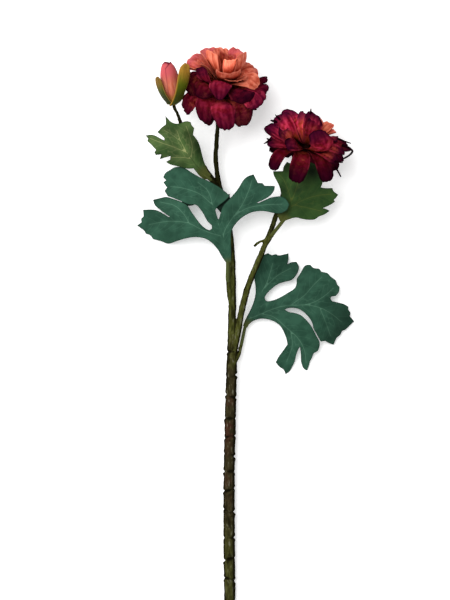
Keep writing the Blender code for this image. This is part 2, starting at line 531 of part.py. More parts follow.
def weld(mesh):
    """Close up the tiny edges that a union leaves, where the body stays closed without them."""
    work = bmesh.new()
    work.from_mesh(mesh)
    bmesh.ops.triangulate(work, faces=work.faces)
    bmesh.ops.remove_doubles(work, verts=work.verts, dist=WELD * MM)
    bmesh.ops.dissolve_degenerate(work, edges=work.edges, dist=WELD * MM)
    if all(len(edge.link_faces) == 2 for edge in work.edges):
        work.to_mesh(mesh)
    work.free()


def fuse(name, shapes, material_name, bores=()):
    """One object from shapes that are sunk into the first of them, with round bores cut through it."""
    body = new_object(name, shapes[0], material_name)
    if len(shapes) > 1:
        group = bpy.data.collections.new(name + "_pieces")
        bpy.context.scene.collection.children.link(group)
        for index, shape in enumerate(shapes[1:]):
            piece = new_object(f"{name}_piece_{index}", shape, material_name)
            bpy.context.scene.collection.objects.unlink(piece)
            group.objects.link(piece)
        apply_modifier(
            body, "BOOLEAN", operation="UNION", operand_type="COLLECTION", collection=group, solver="MANIFOLD"
        )
        for piece in list(group.objects):
            bpy.data.objects.remove(piece)
        bpy.data.collections.remove(group)
    keep_largest_body(body.data)
    for bore in bores:
        cutter = new_object(name + "_bore", bore, material_name)
        apply_modifier(body, "BOOLEAN", operation="DIFFERENCE", object=cutter, solver="MANIFOLD")
        bpy.data.objects.remove(cutter)
    weld(body.data)
    body.data.shade_smooth()
    body.data.set_sharp_from_angle(angle=math.radians(SHARP_ANGLE))
    return body


def tube(line, sides):
    """A closed tube along (x, y, z, radius) rows, in model millimetres, with flat ends."""
    line = np.asarray(line, float)
    middle, radii = line[:, :3], line[:, 3]
    along = np.gradient(middle, axis=0)
    along /= np.linalg.norm(along, axis=1)[:, None]
    across = np.cross(along, np.array([0.02, 0.01, 1.0]))
    across /= np.linalg.norm(across, axis=1)[:, None]
    above = np.cross(across, along)
    angles = (np.arange(sides) + 0.5) * 2 * math.pi / sides
    points = []
    for m, r, a, b in zip(middle, radii, across, above):
        points.extend(m + r * (math.cos(t) * a + math.sin(t) * b) for t in angles)
    rings = len(middle)
    faces = [list(range(sides)), list(range((rings - 1) * sides, rings * sides))]
    for i in range(rings - 1):
        for k in range(sides):
            n = (k + 1) % sides
            faces.append([i * sides + k, i * sides + n, (i + 1) * sides + n, (i + 1) * sides + k])
    return np.array(points), faces


def sheet_line(rows):
    """Sheet rows of (x, y, height, radius) as model rows."""
    return [(*spot(x, y, h), r) for x, y, h, r in rows]


def frame_of(seat, axis):
    """(origin, right, front, axis): right leans along +X and front towards +Z, both square to the axis."""
    up = unit(axis)
    right = unit(np.array([1.0, 0.0, 0.0]) - up[0] * up)
    front = unit(np.array([0.0, 0.0, 1.0]) - up[2] * up)
    front = unit(front - (front @ right) * right)
    return spot(*seat), right, front, up


def turned(frame, profile, sides, start=0.0):
    """A solid turned about the frame's axis from (radius, rise) rows, closed by flat ends. Its first side edge
    is at the start, in degrees."""
    origin, right, front, up = frame
    points = []
    for radius, rise in profile:
        for k in range(sides):
            t = math.radians(start) + 2 * math.pi * k / sides
            points.append(origin + radius * (math.cos(t) * right + math.sin(t) * front) + rise * up)
    rows = len(profile)
    faces = [list(range(sides)), list(range((rows - 1) * sides, rows * sides))]
    for i in range(rows - 1):
        for k in range(sides):
            n = (k + 1) % sides
            faces.append([i * sides + k, i * sides + n, (i + 1) * sides + n, (i + 1) * sides + k])
    return np.array(points), faces


def thicken(grid, thickness):
    """A closed blade from a grid of points, split into the same triangles on both faces."""
    rows, columns = grid.shape[:2]
    along = np.gradient(grid, axis=0)
    across = np.gradient(grid, axis=1)
    normal = np.cross(along, across)
    normal /= np.linalg.norm(normal, axis=2)[:, :, None]
    top = (grid + normal * thickness / 2).reshape(-1, 3)
    bottom = (grid - normal * thickness / 2).reshape(-1, 3)
    count = rows * columns
    faces = []
    for i in range(rows - 1):
        for k in range(columns - 1):
            a, b = i * columns + k, i * columns + k + 1
            c, d = a + columns, b + columns
            for triangle in ((a, b, d), (a, d, c)):
                faces.append(triangle)
                faces.append([count + n for n in reversed(triangle)])
    rim = (
        [k for k in range(columns)]
        + [(i + 1) * columns - 1 for i in range(1, rows)]
        + [(rows - 1) * columns + k for k in range(columns - 2, -1, -1)]
        + [i * columns for i in range(rows - 2, 0, -1)]
    )
    for a, b in zip(rim, rim[1:] + rim[:1]):
        faces.append((a, b, count + b))
        faces.append((a, count + b, count + a))
    return np.vstack([top, bottom]), faces


def petal_grid(frame, petal, form, across, along, limit):
    """The middle surface of one petal, as rows from its claw to its tip. limit moves the points that would
    leave the petal's own space: it takes and gives their distances to the right, to the front and up."""
    origin, right, front, up = frame
    claw_rise, bend, tip, width, cup, turn, *taper = petal
    narrowing = taper[0] if taper else form["narrowing"]
    bend, tip = np.asarray(bend, float), np.asarray(tip, float)
    outward = (bend + tip) / 2 - origin
    outward = unit(outward - (outward @ up) * up)
    root = origin + up * claw_rise + outward * ROOT_REACH
    u = np.sin(np.linspace(-0.5, 0.5, across + 1) * math.pi)[None, :, None]
    v = np.linspace(0, 1, along + 1)[:, None, None]
    # A rounded tip, cut a little shorter at both sides.
    shoulder = form["shoulder"] * (1 - 0.9 * min(max(cup, 0.0) / FULL_CUP, 1.0))
    run = v * (1 - shoulder * np.abs(u) ** PETAL_SQUARENESS * v**3)
    middle = root * (1 - run) ** 2 + 2 * bend * run * (1 - run) + tip * run**2
    ahead = 2 * (bend - root) * (1 - run) + 2 * (tip - bend) * run
    ahead /= np.linalg.norm(ahead, axis=2)[:, :, None]
    sideways = np.broadcast_to(np.cross(up, outward), ahead.shape)
    sideways = sideways - (sideways * ahead).sum(2)[:, :, None] * ahead
    sideways /= np.linalg.norm(sideways, axis=2)[:, :, None]
    facing = np.cross(ahead, sideways)
    turn = math.radians(turn) * np.clip(run * 2, 0, 1) * (1 if np.cross(up, outward) @ front > 0 else -1)
    sideways, facing = (
        sideways * np.cos(turn) - facing * np.sin(turn),
        facing * np.cos(turn) + sideways * np.sin(turn),
    )
    opened = np.sin(np.clip(run / PETAL_WIDEST, 0, 1) * math.pi / 2) ** 1.5
    spread = form["claw"] + (1 - form["claw"]) * opened
    spread = spread - narrowing * (np.clip(run - PETAL_WIDEST, 0, 1) / (1 - PETAL_WIDEST)) ** 2
    half = width / 2 * spread * u
    curl = cup if abs(cup) > 1e-6 else 1e-6
    lift = (1 - np.cos(curl * half)) / curl
    wave = np.sin(RUFFLE_WAVES * 2 * math.pi * u + form["phase"]) * np.abs(u)
    lift = lift + form["ruffle"] * run**2 * wave
    lift = lift + half * form["roll"] * np.clip(run * 2.5, 0, 1)
    grid = middle + sideways * np.sin(curl * half) / curl + facing * lift - origin
    moved = limit(grid @ right, grid @ front, grid @ up)
    return origin + moved[0][..., None] * right + moved[1][..., None] * front + moved[2][..., None] * up


def rest_on_table(grid, level):
    """Points that would sink into the table lie on it instead, or on the petal below, a level higher."""
    lowest = PETAL_THICKNESS / 2 + level * PETAL_LEVEL
    grid = grid.copy()
    grid[..., 2] = soft_max(grid[..., 2], lowest, TABLE_SOFTNESS)
    return grid


def whorl_petals(frame, whorl):
    """The petals of a whorl, spread evenly between its first and last turn about the axis."""
    origin, right, front, up = frame
    found = []
    for turn in np.linspace(*whorl["turn"], whorl["petals"]):
        away = math.cos(math.radians(turn)) * right + math.sin(math.radians(turn)) * front
        bend, tip = (origin + away * reach + up * rise for reach, rise in (whorl["bend"], whorl["tip"]))
        found.append((whorl["claw"], bend, tip, whorl["width"], whorl["cup"], 0))
    return found


def placed(petal):
    """A petal with its sheet points as model points."""
    return (petal[0], spot(*petal[1]), spot(*petal[2]), *petal[3:])


def petal_blades(frame, form, kind, seed, limit):
    """Every outer or inner petal of a bloom, as thin blades. Those of the hidden side are plainer."""
    draw = random.Random(seed)
    petals = [(placed(petal), form["columns"], 4) for petal in form[kind]]
    for whorl in form[kind + "_whorls"]:
        petals += [(petal, 2, 3) for petal in whorl_petals(frame, whorl)]
    blades = []
    for index, (petal, across, along) in enumerate(petals):
        shape = {**form, "roll": PETAL_ROLL, "phase": draw.uniform(0, 2 * math.pi)}
        grid = petal_grid(frame, petal, shape, across, along, limit)
        blades.append(thicken(rest_on_table(grid, index % 2), PETAL_THICKNESS))
    return blades


def parting(form, to_right, to_front):
    """How high above the seat the outer petals end and the inner ones begin."""
    start, climb, lean, lean_left = form["parting"]
    away = np.hypot(to_right, to_front) - form["core"]
    ahead = soft_max(to_front - PARTING_FRONT, 0.0, PARTING_EASE)
    left = soft_max(-to_right - PARTING_LEFT, 0.0, PARTING_EASE)
    rise = start + climb * soft_max(away, 0.0, 1.0) + lean * ahead + lean_left * left
    for right, front, height, spread in form["swells"]:
        rise = rise + height * np.exp(-((to_right - right) ** 2 + (to_front - front) ** 2) / (2 * spread**2))
    return rise


def parting_gap(form, to_right, to_front):
    """Half the distance along the axis between outer and inner petals, wider where the parting is steep."""
    step = 0.5
    slope_right = parting(form, to_right + step, to_front) - parting(form, to_right - step, to_front)
    slope_front = parting(form, to_right, to_front + step) - parting(form, to_right, to_front - step)
    return PARTING_GAP * np.sqrt(1 + slope_right**2 + slope_front**2)


def bloom(name, form):
    """A double bloom on its peg: a green calyx, a ring of outer petals and a heart of inner ones."""
    frame = frame_of(form["seat"], form["axis"])
    core = form["core"]
    start = form["parting"][0]

    def below(to_right, to_front, rise):
        limit = parting(form, to_right, to_front) - parting_gap(form, to_right, to_front)
        return to_right, to_front, soft_min(rise, limit, PARTING_SOFTNESS)

    def above(to_right, to_front, rise):
        limit = parting(form, to_right, to_front) + parting_gap(form, to_right, to_front)
        return to_right, to_front, soft_max(rise, limit, PARTING_SOFTNESS)

    bore_rises = (CALYX_TOP - CALYX_DEPTH - BORE_SINK, start + BORE_REACH)
    bore = turned(frame, [(PEG_BORE, rise) for rise in bore_rises], BORE_SIDES)
    hub_rows = [(core * share, CALYX_TOP + rise) for share, rise in HUB_FOOT]
    hub_rows += [(core * share, start + rise) for share, rise in HUB_HEAD]
    outer_core = turned(frame, hub_rows, HUB_SIDES)
    outer = petal_blades(frame, form, "outer", form["seed"], below)
    fuse(name + "_outer_petals", [outer_core, *outer], "burgundy", [bore])
    inner_core = turned(frame, [(core * share, start + rise) for share, rise in HEART], HUB_SIDES)
    inner = petal_blades(frame, form, "inner", form["seed"] + 1, above)
    fuse(name + "_inner_petals", [inner_core, *inner], "peach", [bore])
    top = CALYX_TOP - SEAT_GAP
    cup_rows = [(radius, top + rise) for radius, rise in CALYX_FOOT]
    cup_rows += [(core * share, top + rise) for share, rise in CALYX_RIM]
    fuse(name + "_calyx", [turned(frame, cup_rows, HUB_SIDES)], "yellow_green", [bore])


def foot_rise():
    """The rise of a stem's end, just under the calyx."""
    return CALYX_TOP - CALYX_DEPTH - 2 * SEAT_GAP


def along_axis(form, rises_and_radii):
    """Model rows up a bloom's axis."""
    origin, _, _, up = frame_of(form["seat"], form["axis"])
    return [(*(origin + up * rise), radius) for rise, radius in rises_and_radii]


def peg_of(form):
    """The slim peg above the stem's end that threads the bloom."""
    rises = (foot_rise() - PEG_SINK, form["parting"][0] + PEG_REACH)
    return along_axis(form, [(rise, PEG_RADIUS) for rise in rises])


def stem_into(form, rows):
    """A stem's own rows, carried on to the foot of its bloom, along the bloom's axis."""
    foot = foot_rise()
    return sheet_line(rows) + along_axis(form, [(foot - drop, NECK_RADIUS) for drop in (9.0, 4.0, 0.0)])


def knotted(line):
    """The line with its radius notched and swollen at each joint, and with rings at the joints."""
    rows = []
    heights = [SHEET_MIDDLE[1] - y for y in KNOTS]
    line = np.array(line)
    order = np.argsort(line[:, 1])
    wanted = set()
    for y in line[:, 1]:
        if all(abs(y - k) > KNOT_REACH for k in heights):
            wanted.add(round(float(y), 3))
    for k in heights:
        wanted.update((round(k - KNOT_REACH, 3), round(k, 3), round(k + KNOT_REACH * 0.8, 3)))
    for y in sorted(wanted):
        row = np.array([np.interp(y, line[order, 1], line[order, c]) for c in range(4)])
        for k in heights:
            gap = (y - k) / KNOT_REACH
            row[3] *= 1 - KNOT_NOTCH * math.exp(-9 * gap**2) + KNOT_SWELL * math.exp(-6 * (gap + 1) ** 2)
        rows.append(row)
    return rows


def stems():
    """The forked stem with its twig, its leaf stubs and the blooms' pegs, moulded as one body."""
    main = smooth_line(stem_into(BLOOMS["large_bloom"], MAIN_STEM), RING_STEP)
    last_joint = SHEET_MIDDLE[1] - KNOTS[0]
    above = next(i for i, row in enumerate(main) if row[1] > last_joint + 4 * KNOT_REACH)
    main = [*knotted(main[: above + 1]), *main[above + 1 :]]
    shapes = [tube(main, STEM_SIDES)]
    shapes.append(tube(smooth_line(stem_into(BLOOMS["small_bloom"], SIDE_STEM), RING_STEP), STEM_SIDES))
    origin, _, _, up = frame_of(BUD_SEAT, BUD_AXIS)
    drops = (BUD_CUP_DEPTH + BUD_STALK_END, BUD_CUP_DEPTH + SEAT_GAP)
    bud_foot = [(*(origin - up * drop), BUD_STALK_RADIUS) for drop in drops]
    shapes.append(tube(smooth_line(sheet_line(BUD_STEM) + bud_foot, RING_STEP), TWIG_SIDES))
    shapes.append(tube(smooth_line(sheet_line(TWIG), RING_STEP), TWIG_SIDES))
    for rows in LEAF_STUBS.values():
        shapes.append(tube(smooth_line(sheet_line(rows), RING_STEP), TWIG_SIDES))
    for form in BLOOMS.values():
        shapes.append(tube(peg_of(form), TWIG_SIDES))
    fuse("stem", shapes, "bark")


def plate(controls):
    """A thin-plate surface through (x, y, height) points of the sheet, as a function of sheet points."""
    known = np.array(controls, float)
    count = len(known)

    def bend(a, b):
        gap = ((a[:, None, :] - b[None, :, :]) ** 2).sum(2)
        return gap * np.log(gap + 1e-9)

    base = np.hstack([np.ones((count, 1)), known[:, :2]])
    system = np.zeros((count + 3, count + 3))
    system[:count, :count] = bend(known[:, :2], known[:, :2]) + PLATE_EASE * np.eye(count)
    system[:count, count:] = base
    system[count:, :count] = base.T
    weights = np.linalg.solve(system, np.concatenate([known[:, 2], np.zeros(3)]))

    def height(points):
        points = np.asarray(points, float).reshape(-1, 2)
        flat = np.hstack([np.ones((len(points), 1)), points])
        return bend(points, known[:, :2]) @ weights[:count] + flat @ weights[count:]

    return height


def distance_to(points, lines):
    """The distance of each sheet point from the nearest of some lines."""
    nearest = np.full(len(points), 1e9)
    for line in lines:
        line = np.array(line, float)
        for a, b in zip(line, line[1:]):
            t = np.clip(((points - a) @ (b - a)) / ((b - a) @ (b - a)), 0, 1)
            gap = np.linalg.norm(points - a - t[:, None] * (b - a), axis=1)
            nearest = np.minimum(nearest, gap)
    return nearest


def blade_height(form):
    """The blade's height over a sheet point: its plate, sunk along the veins."""
    surface = plate(form["heights"])

    def height(points):
        points = np.asarray(points, float).reshape(-1, 2)
        sunk = np.exp(-((distance_to(points, form["veins"]) / VEIN_SPREAD) ** 2))
        return np.maximum(surface(points) - VEIN_SINK * sunk, LEAF_THICKNESS / 2 + 0.02)

    return height


def inside(point, outline):
    """Whether a sheet point is inside a closed outline."""
    x, y = point
    odd = False
    for (ax, ay), (bx, by) in zip(outline, outline[1:] + outline[:1]):
        if (ay > y) != (by > y) and x < ax + (y - ay) / (by - ay) * (bx - ax):
            odd = not odd
    return odd


def grown(outline, amount):
    """The outline with each corner moved outwards."""
    points = np.array(outline, float)
    ahead = np.roll(points, -1, axis=0) - points
    ahead /= np.linalg.norm(ahead, axis=1)[:, None]
    side = np.stack([ahead[:, 1], -ahead[:, 0]], axis=1)
    corner = side + np.roll(side, 1, axis=0)
    corner /= np.maximum(np.linalg.norm(corner, axis=1)[:, None], 0.9)
    return [tuple(p) for p in points + amount * corner]


def blade(form, grid):
    """A leaf's blade: its outline filled with triangles, bent to its heights and given its thickness."""
    outline = grown(form["outline"], LEAF_GROWTH)
    corners = np.array(outline, float)
    low, high = corners.min(0), corners.max(0)
    edge = [*outline, outline[0]]
    points = [tuple(p) for p in outline]
    row_step = grid * math.sqrt(3) / 2
    for i in range(int((high[1] - low[1]) / row_step) + 1):
        for k in range(int((high[0] - low[0]) / grid) + 2):
            point = (low[0] + grid * (k + 0.5 * (i % 2)), low[1] + row_step * i)
            if inside(point, outline) and distance_to(np.array([point]), [edge])[0] > grid * LEAF_MARGIN:
                points.append(point)
    loop = list(range(len(outline)))
    found, _, faces, _, _, _ = delaunay_2d_cdt([tuple(map(float, p)) for p in points], [], [loop], 1, 1e-4)
    flat = np.array([tuple(p) for p in found])
    height = blade_height(form)
    middle = np.array([spot(x, y, h) for (x, y), h in zip(flat, height(flat))])
    step = 0.4
    rise_x = (height(flat + [step, 0]) - height(flat - [step, 0])) / (2 * step)
    rise_y = (height(flat + [0, step]) - height(flat - [0, step])) / (2 * step)
    normal = np.stack([-rise_x, rise_y, np.ones(len(flat))], axis=1)
    normal /= np.linalg.norm(normal, axis=1)[:, None]
    top = middle + normal * LEAF_THICKNESS / 2
    bottom = middle - normal * LEAF_THICKNESS / 2
    count = len(flat)
    solid = []
    edges = {}
    for face in faces:
        solid.append(list(face))
        solid.append([count + n for n in reversed(face)])
        for a, b in zip(face, face[1:] + face[:1]):
            edges[(a, b)] = True
    for a, b in edges:
        if (b, a) not in edges:
            solid.append([b, a, count + a])
            solid.append([b, count + a, count + b])
    return np.vstack([top, bottom]), solid


def rib(form, stub):
    """The leaf's stalk, from the stub's end to the blade, and on under it as the midrib."""
    height = blade_height(form)
    vein = np.array(form["veins"][0], float)
    share = max(3, round(len(vein) * RIB_SHARE))
    foot = np.array(sheet_line(stub[-2:]))
    away = unit(foot[1, :3] - foot[0, :3])
    start = foot[1, :3] + away * SEAT_GAP
    rows = [(*start, form["stalk"]), (*(start + away * 3.5), form["stalk"])]
    for i, (x, y) in enumerate(vein[1:share]):
        radius = form["stalk"] * (1 - 0.75 * (i + 0.6) / share)
        rows.append((*spot(x, y, height([(x, y)])[0] - radius * 0.35), radius))
    return tube(smooth_line(rows, RING_STEP * 0.8), TWIG_SIDES)


def leaves():
    for name, form in LEAVES.items():
        fuse(name, [rib(form, LEAF_STUBS[name]), blade(form, LEAF_GRID)], form["green"])


def bud_radius(rise):
    """The closed bud's radius at a rise above its seat."""
    share = np.clip(np.asarray(rise, float) / BUD_LENGTH, 0.0, 1.0)
    swell = 0.52 + 0.48 * np.sin(np.clip(share / 0.36, 0, 1) * math.pi / 2)
    return BUD_RADIUS * swell * np.sqrt(np.clip(1 - (np.clip(share - 0.30, 0, 1) / 0.74) ** 2.2, 0.02, 1))


def rolled_petal(frame, turn, across, along):
    """The middle surface of one of the bud's petals, rolled round it from an inner edge to an outer one."""
    origin, right, front, up = frame
    u = np.linspace(0, 1, across + 1)[None, :]
    v = np.linspace(0, 1, along + 1)[:, None]
    angle = math.radians(turn) + math.radians(BUD_WRAP) * u
    rise = SEAT_GAP + (BUD_LENGTH - SEAT_GAP) * (1 - 0.16 * (2 * u - 1) ** 2 * v**3) * v
    radius = bud_radius(rise) * (0.84 + 0.16 * u)
    return (
        origin
        + (radius * np.cos(angle))[..., None] * right
        + (radius * np.sin(angle))[..., None] * front
        + rise[..., None] * up
    )


def bud():
    """The closed bud: rolled petals on a green cup with three sepals."""
    frame = frame_of(BUD_SEAT, BUD_AXIS)
    rises = [SEAT_GAP + (BUD_LENGTH - SEAT_GAP) * share for share in (0.0, 0.25, 0.5, 0.75)]
    core = turned(frame, [(float(bud_radius(rise)) * BUD_CORE, rise) for rise in rises], 9, BUD_TURNS[0])
    petals = [thicken(rolled_petal(frame, turn, 5, 4), PETAL_THICKNESS) for turn in BUD_TURNS]
    fuse("bud_petals", [core, *petals], "salmon")

    def clear_of_petals(to_right, to_front, rise):
        away = np.hypot(to_right, to_front)
        least = bud_radius(rise) + PETAL_THICKNESS + SEAT_GAP + 0.8
        share = np.where(rise > -1.5, soft_max(away, least, 0.3) / np.maximum(away, 0.5), 1.0)
        return to_right * share, to_front * share, rise

    cup = turned(frame, BUD_CUP, HUB_SIDES)
    shape = {"claw": 0.85, "narrowing": 0.42, "ruffle": 0.0, "shoulder": 0.22, "roll": 0.0, "phase": 0.0}
    blades = [
        thicken(petal_grid(frame, placed(sepal), shape, 3, 5, clear_of_petals), PETAL_THICKNESS)
        for sepal in BUD_SEPALS
    ]
    fuse("bud_sepals", [cup, *blades], "yellow_green")


def main():
    for old in list(bpy.data.objects):
        bpy.data.objects.remove(old)
    stems()
    leaves()
    bud()
    for name, form in BLOOMS.items():
        bloom(name, form)


main()
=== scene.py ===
"""The looks of the zinnia spray: cloth petals and leaves, a moulded stem and a plain studio.

Plan points are millimetres on a layout sheet, x to the right and y down from its top left corner, and heights
are millimetres above the table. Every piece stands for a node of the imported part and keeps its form.
"""

import math
import random

import bpy
import numpy as np
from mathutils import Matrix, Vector, noise
from mathutils.bvhtree import BVHTree
from mathutils.geometry import delaunay_2d_cdt


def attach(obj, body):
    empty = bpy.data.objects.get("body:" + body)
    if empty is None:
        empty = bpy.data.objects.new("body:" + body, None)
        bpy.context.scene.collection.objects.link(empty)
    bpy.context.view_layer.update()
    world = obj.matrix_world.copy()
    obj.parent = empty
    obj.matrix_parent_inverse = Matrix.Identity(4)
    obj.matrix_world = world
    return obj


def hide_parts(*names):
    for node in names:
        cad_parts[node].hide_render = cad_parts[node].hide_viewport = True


bl_info = {
    "name": "Zinnia spray",
    "version": (1, 0, 0),
    "blender": (4, 5, 0),
    "location": "View3D > Sidebar > Zinnia",
    "description": "Builds a cloth zinnia spray with two blooms, a bud and lobed leaves",
    "category": "Add Mesh",
}

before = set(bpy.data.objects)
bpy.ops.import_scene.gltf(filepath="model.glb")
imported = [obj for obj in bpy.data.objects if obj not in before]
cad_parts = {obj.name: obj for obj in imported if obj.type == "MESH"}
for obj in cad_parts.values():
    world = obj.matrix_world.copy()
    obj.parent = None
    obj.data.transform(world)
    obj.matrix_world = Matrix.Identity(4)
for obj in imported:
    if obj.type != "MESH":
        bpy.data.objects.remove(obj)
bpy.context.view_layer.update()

MM = 0.001

# The sheet point that lies over the origin.
SHEET_MIDDLE = (245.5, 325.0)

# Sizes that the looks share with the part, in millimetres.
SEAT_GAP = 0.3
SOLID_PETAL = 0.8
NECK_RADIUS = 2.1
LEAF_GROWTH = 0.4
PLATE_EASE = 40.0
TABLE_SOFTNESS = 1.0
PETAL_LEVEL = 1.3
PETAL_REST = 0.4
PETAL_WIDEST = 0.70
PETAL_SQUARENESS = 4.5
PETAL_ROUNDING = 0.08
RUFFLE_WAVES = 1.3
PETAL_ROLL = 0.12
FULL_CUP = 0.06
VEIN_SINK = 1.1
VEIN_SPREAD = 5.0
RIB_SHARE = 0.72
CALYX_DEPTH = 12.0
CALYX_TOP = -3.6
PARTING_GAP = 1.0
PARTING_FRONT = 5.0
PARTING_LEFT = 3.0
PARTING_EASE = 2.0
ROOT_REACH = 3.0
BUD_SEAT = (173.3, 101.4, 53.0)
BUD_AXIS = (-0.16, 0.97, 0.14)
BUD_LENGTH = 40.0
BUD_CUP_DEPTH = 4.2
BUD_RADIUS = 10.0
BUD_TURNS = (30.0, 150.0, 270.0)
BUD_WRAP = 200.0
BUD_CORE = 0.80
BUD_SEPALS = [
    (-3.3, (184.0, 94.0, 76.0), (187.0, 64.5, 62.0), 18.0, 0.045, 0),
    (-3.3, (160.5, 97.0, 64.0), (157.0, 77.5, 60.0), 13.0, 0.040, 0),
    (-3.3, (172.0, 100.0, 36.0), (169.0, 74.0, 42.0), 15.0, 0.040, 0),
]

# Each stem is a list of (x, y, height, radius), from its foot to its tip.
MAIN_STEM = [
    (229.8, 603.0, 5.4, 5.7),
    (229.4, 575.0, 6.1, 5.7),
    (229.3, 540.0, 6.8, 5.7),
    (229.2, 500.0, 7.5, 5.7),
    (229.3, 465.0, 8.1, 5.7),
    (229.8, 435.0, 8.7, 5.6),
    (230.8, 400.0, 9.4, 5.6),
    (231.8, 365.0, 10.0, 5.3),
    (232.2, 345.0, 10.4, 4.8),
    (232.0, 320.0, 10.8, 4.0),
    (232.3, 300.0, 11.2, 3.9),
    (232.0, 270.0, 11.9, 3.6),
    (231.0, 245.0, 12.5, 3.3),
    (229.3, 226.0, 13.0, 2.9),
    (225.6, 208.0, 13.4, 2.6),
    (221.3, 192.0, 13.8, 2.5),
    (217.6, 176.0, 14.2, 2.4),
    (215.7, 160.0, 14.6, 2.4),
    (216.2, 147.0, 15.0, 2.3),
]
SIDE_STEM = [
    (233.0, 356.0, 10.2, 3.2),
    (237.0, 337.0, 11.6, 3.4),
    (240.4, 318.0, 13.2, 3.3),
    (244.8, 298.0, 15.0, 3.3),
    (250.8, 279.0, 16.8, 3.1),
    (258.4, 261.0, 18.5, 3.0),
    (265.0, 245.0, 20.2, 2.8),
    (271.2, 230.0, 22.0, 2.6),
    (276.0, 216.0, 24.0, 2.5),
    (281.6, 198.0, 26.4, 2.2),
    (286.6, 182.0, 29.4, 2.1),
]
BUD_STEM = [
    (218.0, 188.0, 13.4, 2.0),
    (213.5, 179.5, 13.4, 2.0),
    (207.5, 171.0, 14.6, 2.0),
    (201.5, 161.5, 17.0, 2.0),
    (195.5, 151.0, 21.0, 2.0),
    (189.6, 140.0, 25.0, 2.0),
    (182.9, 128.8, 29.6, 2.0),
    (180.0, 120.8, 38.6, 1.8),
    (177.2, 113.4, 48.6, 1.6),
]
TWIG = [
    (265.4, 240.0, 21.0, 1.4),
    (259.8, 241.8, 21.5, 1.3),
    (254.0, 246.2, 21.0, 1.2),
]
# The stubs that the leaves plug onto, from inside the stem to the leaf stalk's end.
LEAF_STUBS = {
    "upper_leaf": [(219.4, 187.0, 14.5, 2.0), (214.8, 183.0, 18.0, 2.0), (210.5, 179.4, 20.0, 1.9)],
    "middle_leaf": [(231.2, 306.0, 12.0, 2.4), (229.3, 294.0, 15.0, 2.3), (228.0, 281.0, 17.4, 2.2)],
    "right_leaf": [(263.8, 248.0, 20.6, 2.1), (267.8, 241.5, 23.6, 2.1), (272.2, 235.0, 26.2, 2.0)],
    "lower_leaf": [(234.4, 364.0, 9.8, 1.9), (239.4, 353.5, 9.0, 1.8), (241.3, 345.0, 8.2, 1.7)],
}

# Where the main stem is notched by a joint, as y on the sheet, and how far a joint reaches along it.
KNOTS = [352.0, 377.0, 397.0, 419.0, 437.0, 455.0, 472.0, 491.0, 512.0, 539.0, 560.0, 580.0]
KNOT_REACH = 3.0

# How deep a joint is where it is shallowest and how much deeper it gets, how far its lips stand out below and
# above it, and how deep the stem's flutes are, all as shares of the stem's radius.
NOTCH_LEAST = 0.14
NOTCH_MORE = 0.26
LIP_BELOW = 0.18
LIP_ABOVE = 0.07
FLUTE_DEPTH = 0.03

# Where the bark is green above and below, and dark above, each as y on the sheet and the length that it fades
# over. Worn patches are (y on the sheet, spread, strength).
YOUNG_ABOVE = (352.0, 20.0)
YOUNG_BELOW = (515.0, 40.0)
DARKER_ABOVE = (238.0, 30.0)
WORN_PATCHES = [(425.0, 28.0, 1.0), (480.0, 20.0, 0.5)]

# How far a leaf sinks along its main and its fine veins and how wide, how far it puckers between them, and
# how low its blade may hang.
CREASE_SINK = 0.40
CREASE_WIDTH = 1.1
FINE_VEIN_SINK = 0.16
FINE_VEIN_WIDTH = 0.8
PUCKER = 0.30
LOWEST_BLADE = 0.45

# How far up a main vein the first fine vein leaves it, and how long and how far apart fine veins are.
FINE_VEIN_START = (4.0, 7.0)
FINE_VEIN_LENGTH = (9.0, 14.0)
FINE_VEIN_SPACING = (3.2, 5.0)

# The number of mesh faces across and along a petal of a bloom, a sepal and a petal of the bud.
PETAL_MESH = (16, 22)
SEPAL_MESH = (14, 22)
BUD_MESH = (28, 26)

# How light each of the bud's sepals is, and how much thicker they are than petals.
SEPAL_SHADES = (1.0, 0.42, 0.45)
SEPAL_THICKNESS_SHARE = 1.4

# How light each leaf's print is.
LEAF_SHADES = {"middle_leaf": 0.80, "lower_leaf": 0.76, "right_leaf": 1.25, "upper_leaf": 0.95}

# How dull the cloth is, its threads to the centimetre, and how far a thread stands out, in metres.
CLOTH_ROUGHNESS = 0.55
PETAL_THREADS = 24.0
LEAF_THREADS = 20.0
THREAD_DEPTH = 0.0002

# The studio: how bright the air is, its lights as (name, place, the point aimed at, width, power), where the
# camera stands, and the height above the table that its view is measured at, in metres and watts.
AIR_BRIGHTNESS = 0.68
LIGHTS = [
    ("key_light", (-0.8, 0.9, 2.5), (0.0, 0.05, 0.0), 2.0, 50.0),
    ("side_light", (-2.2, 0.6, 1.4), (0.0, 0.0, 0.0), 1.0, 26.0),
]
CAMERA_PLACE = (-0.0205, 0.025)
SENSOR_WIDTH = 36.0
VIEW_LEVEL = 0.04

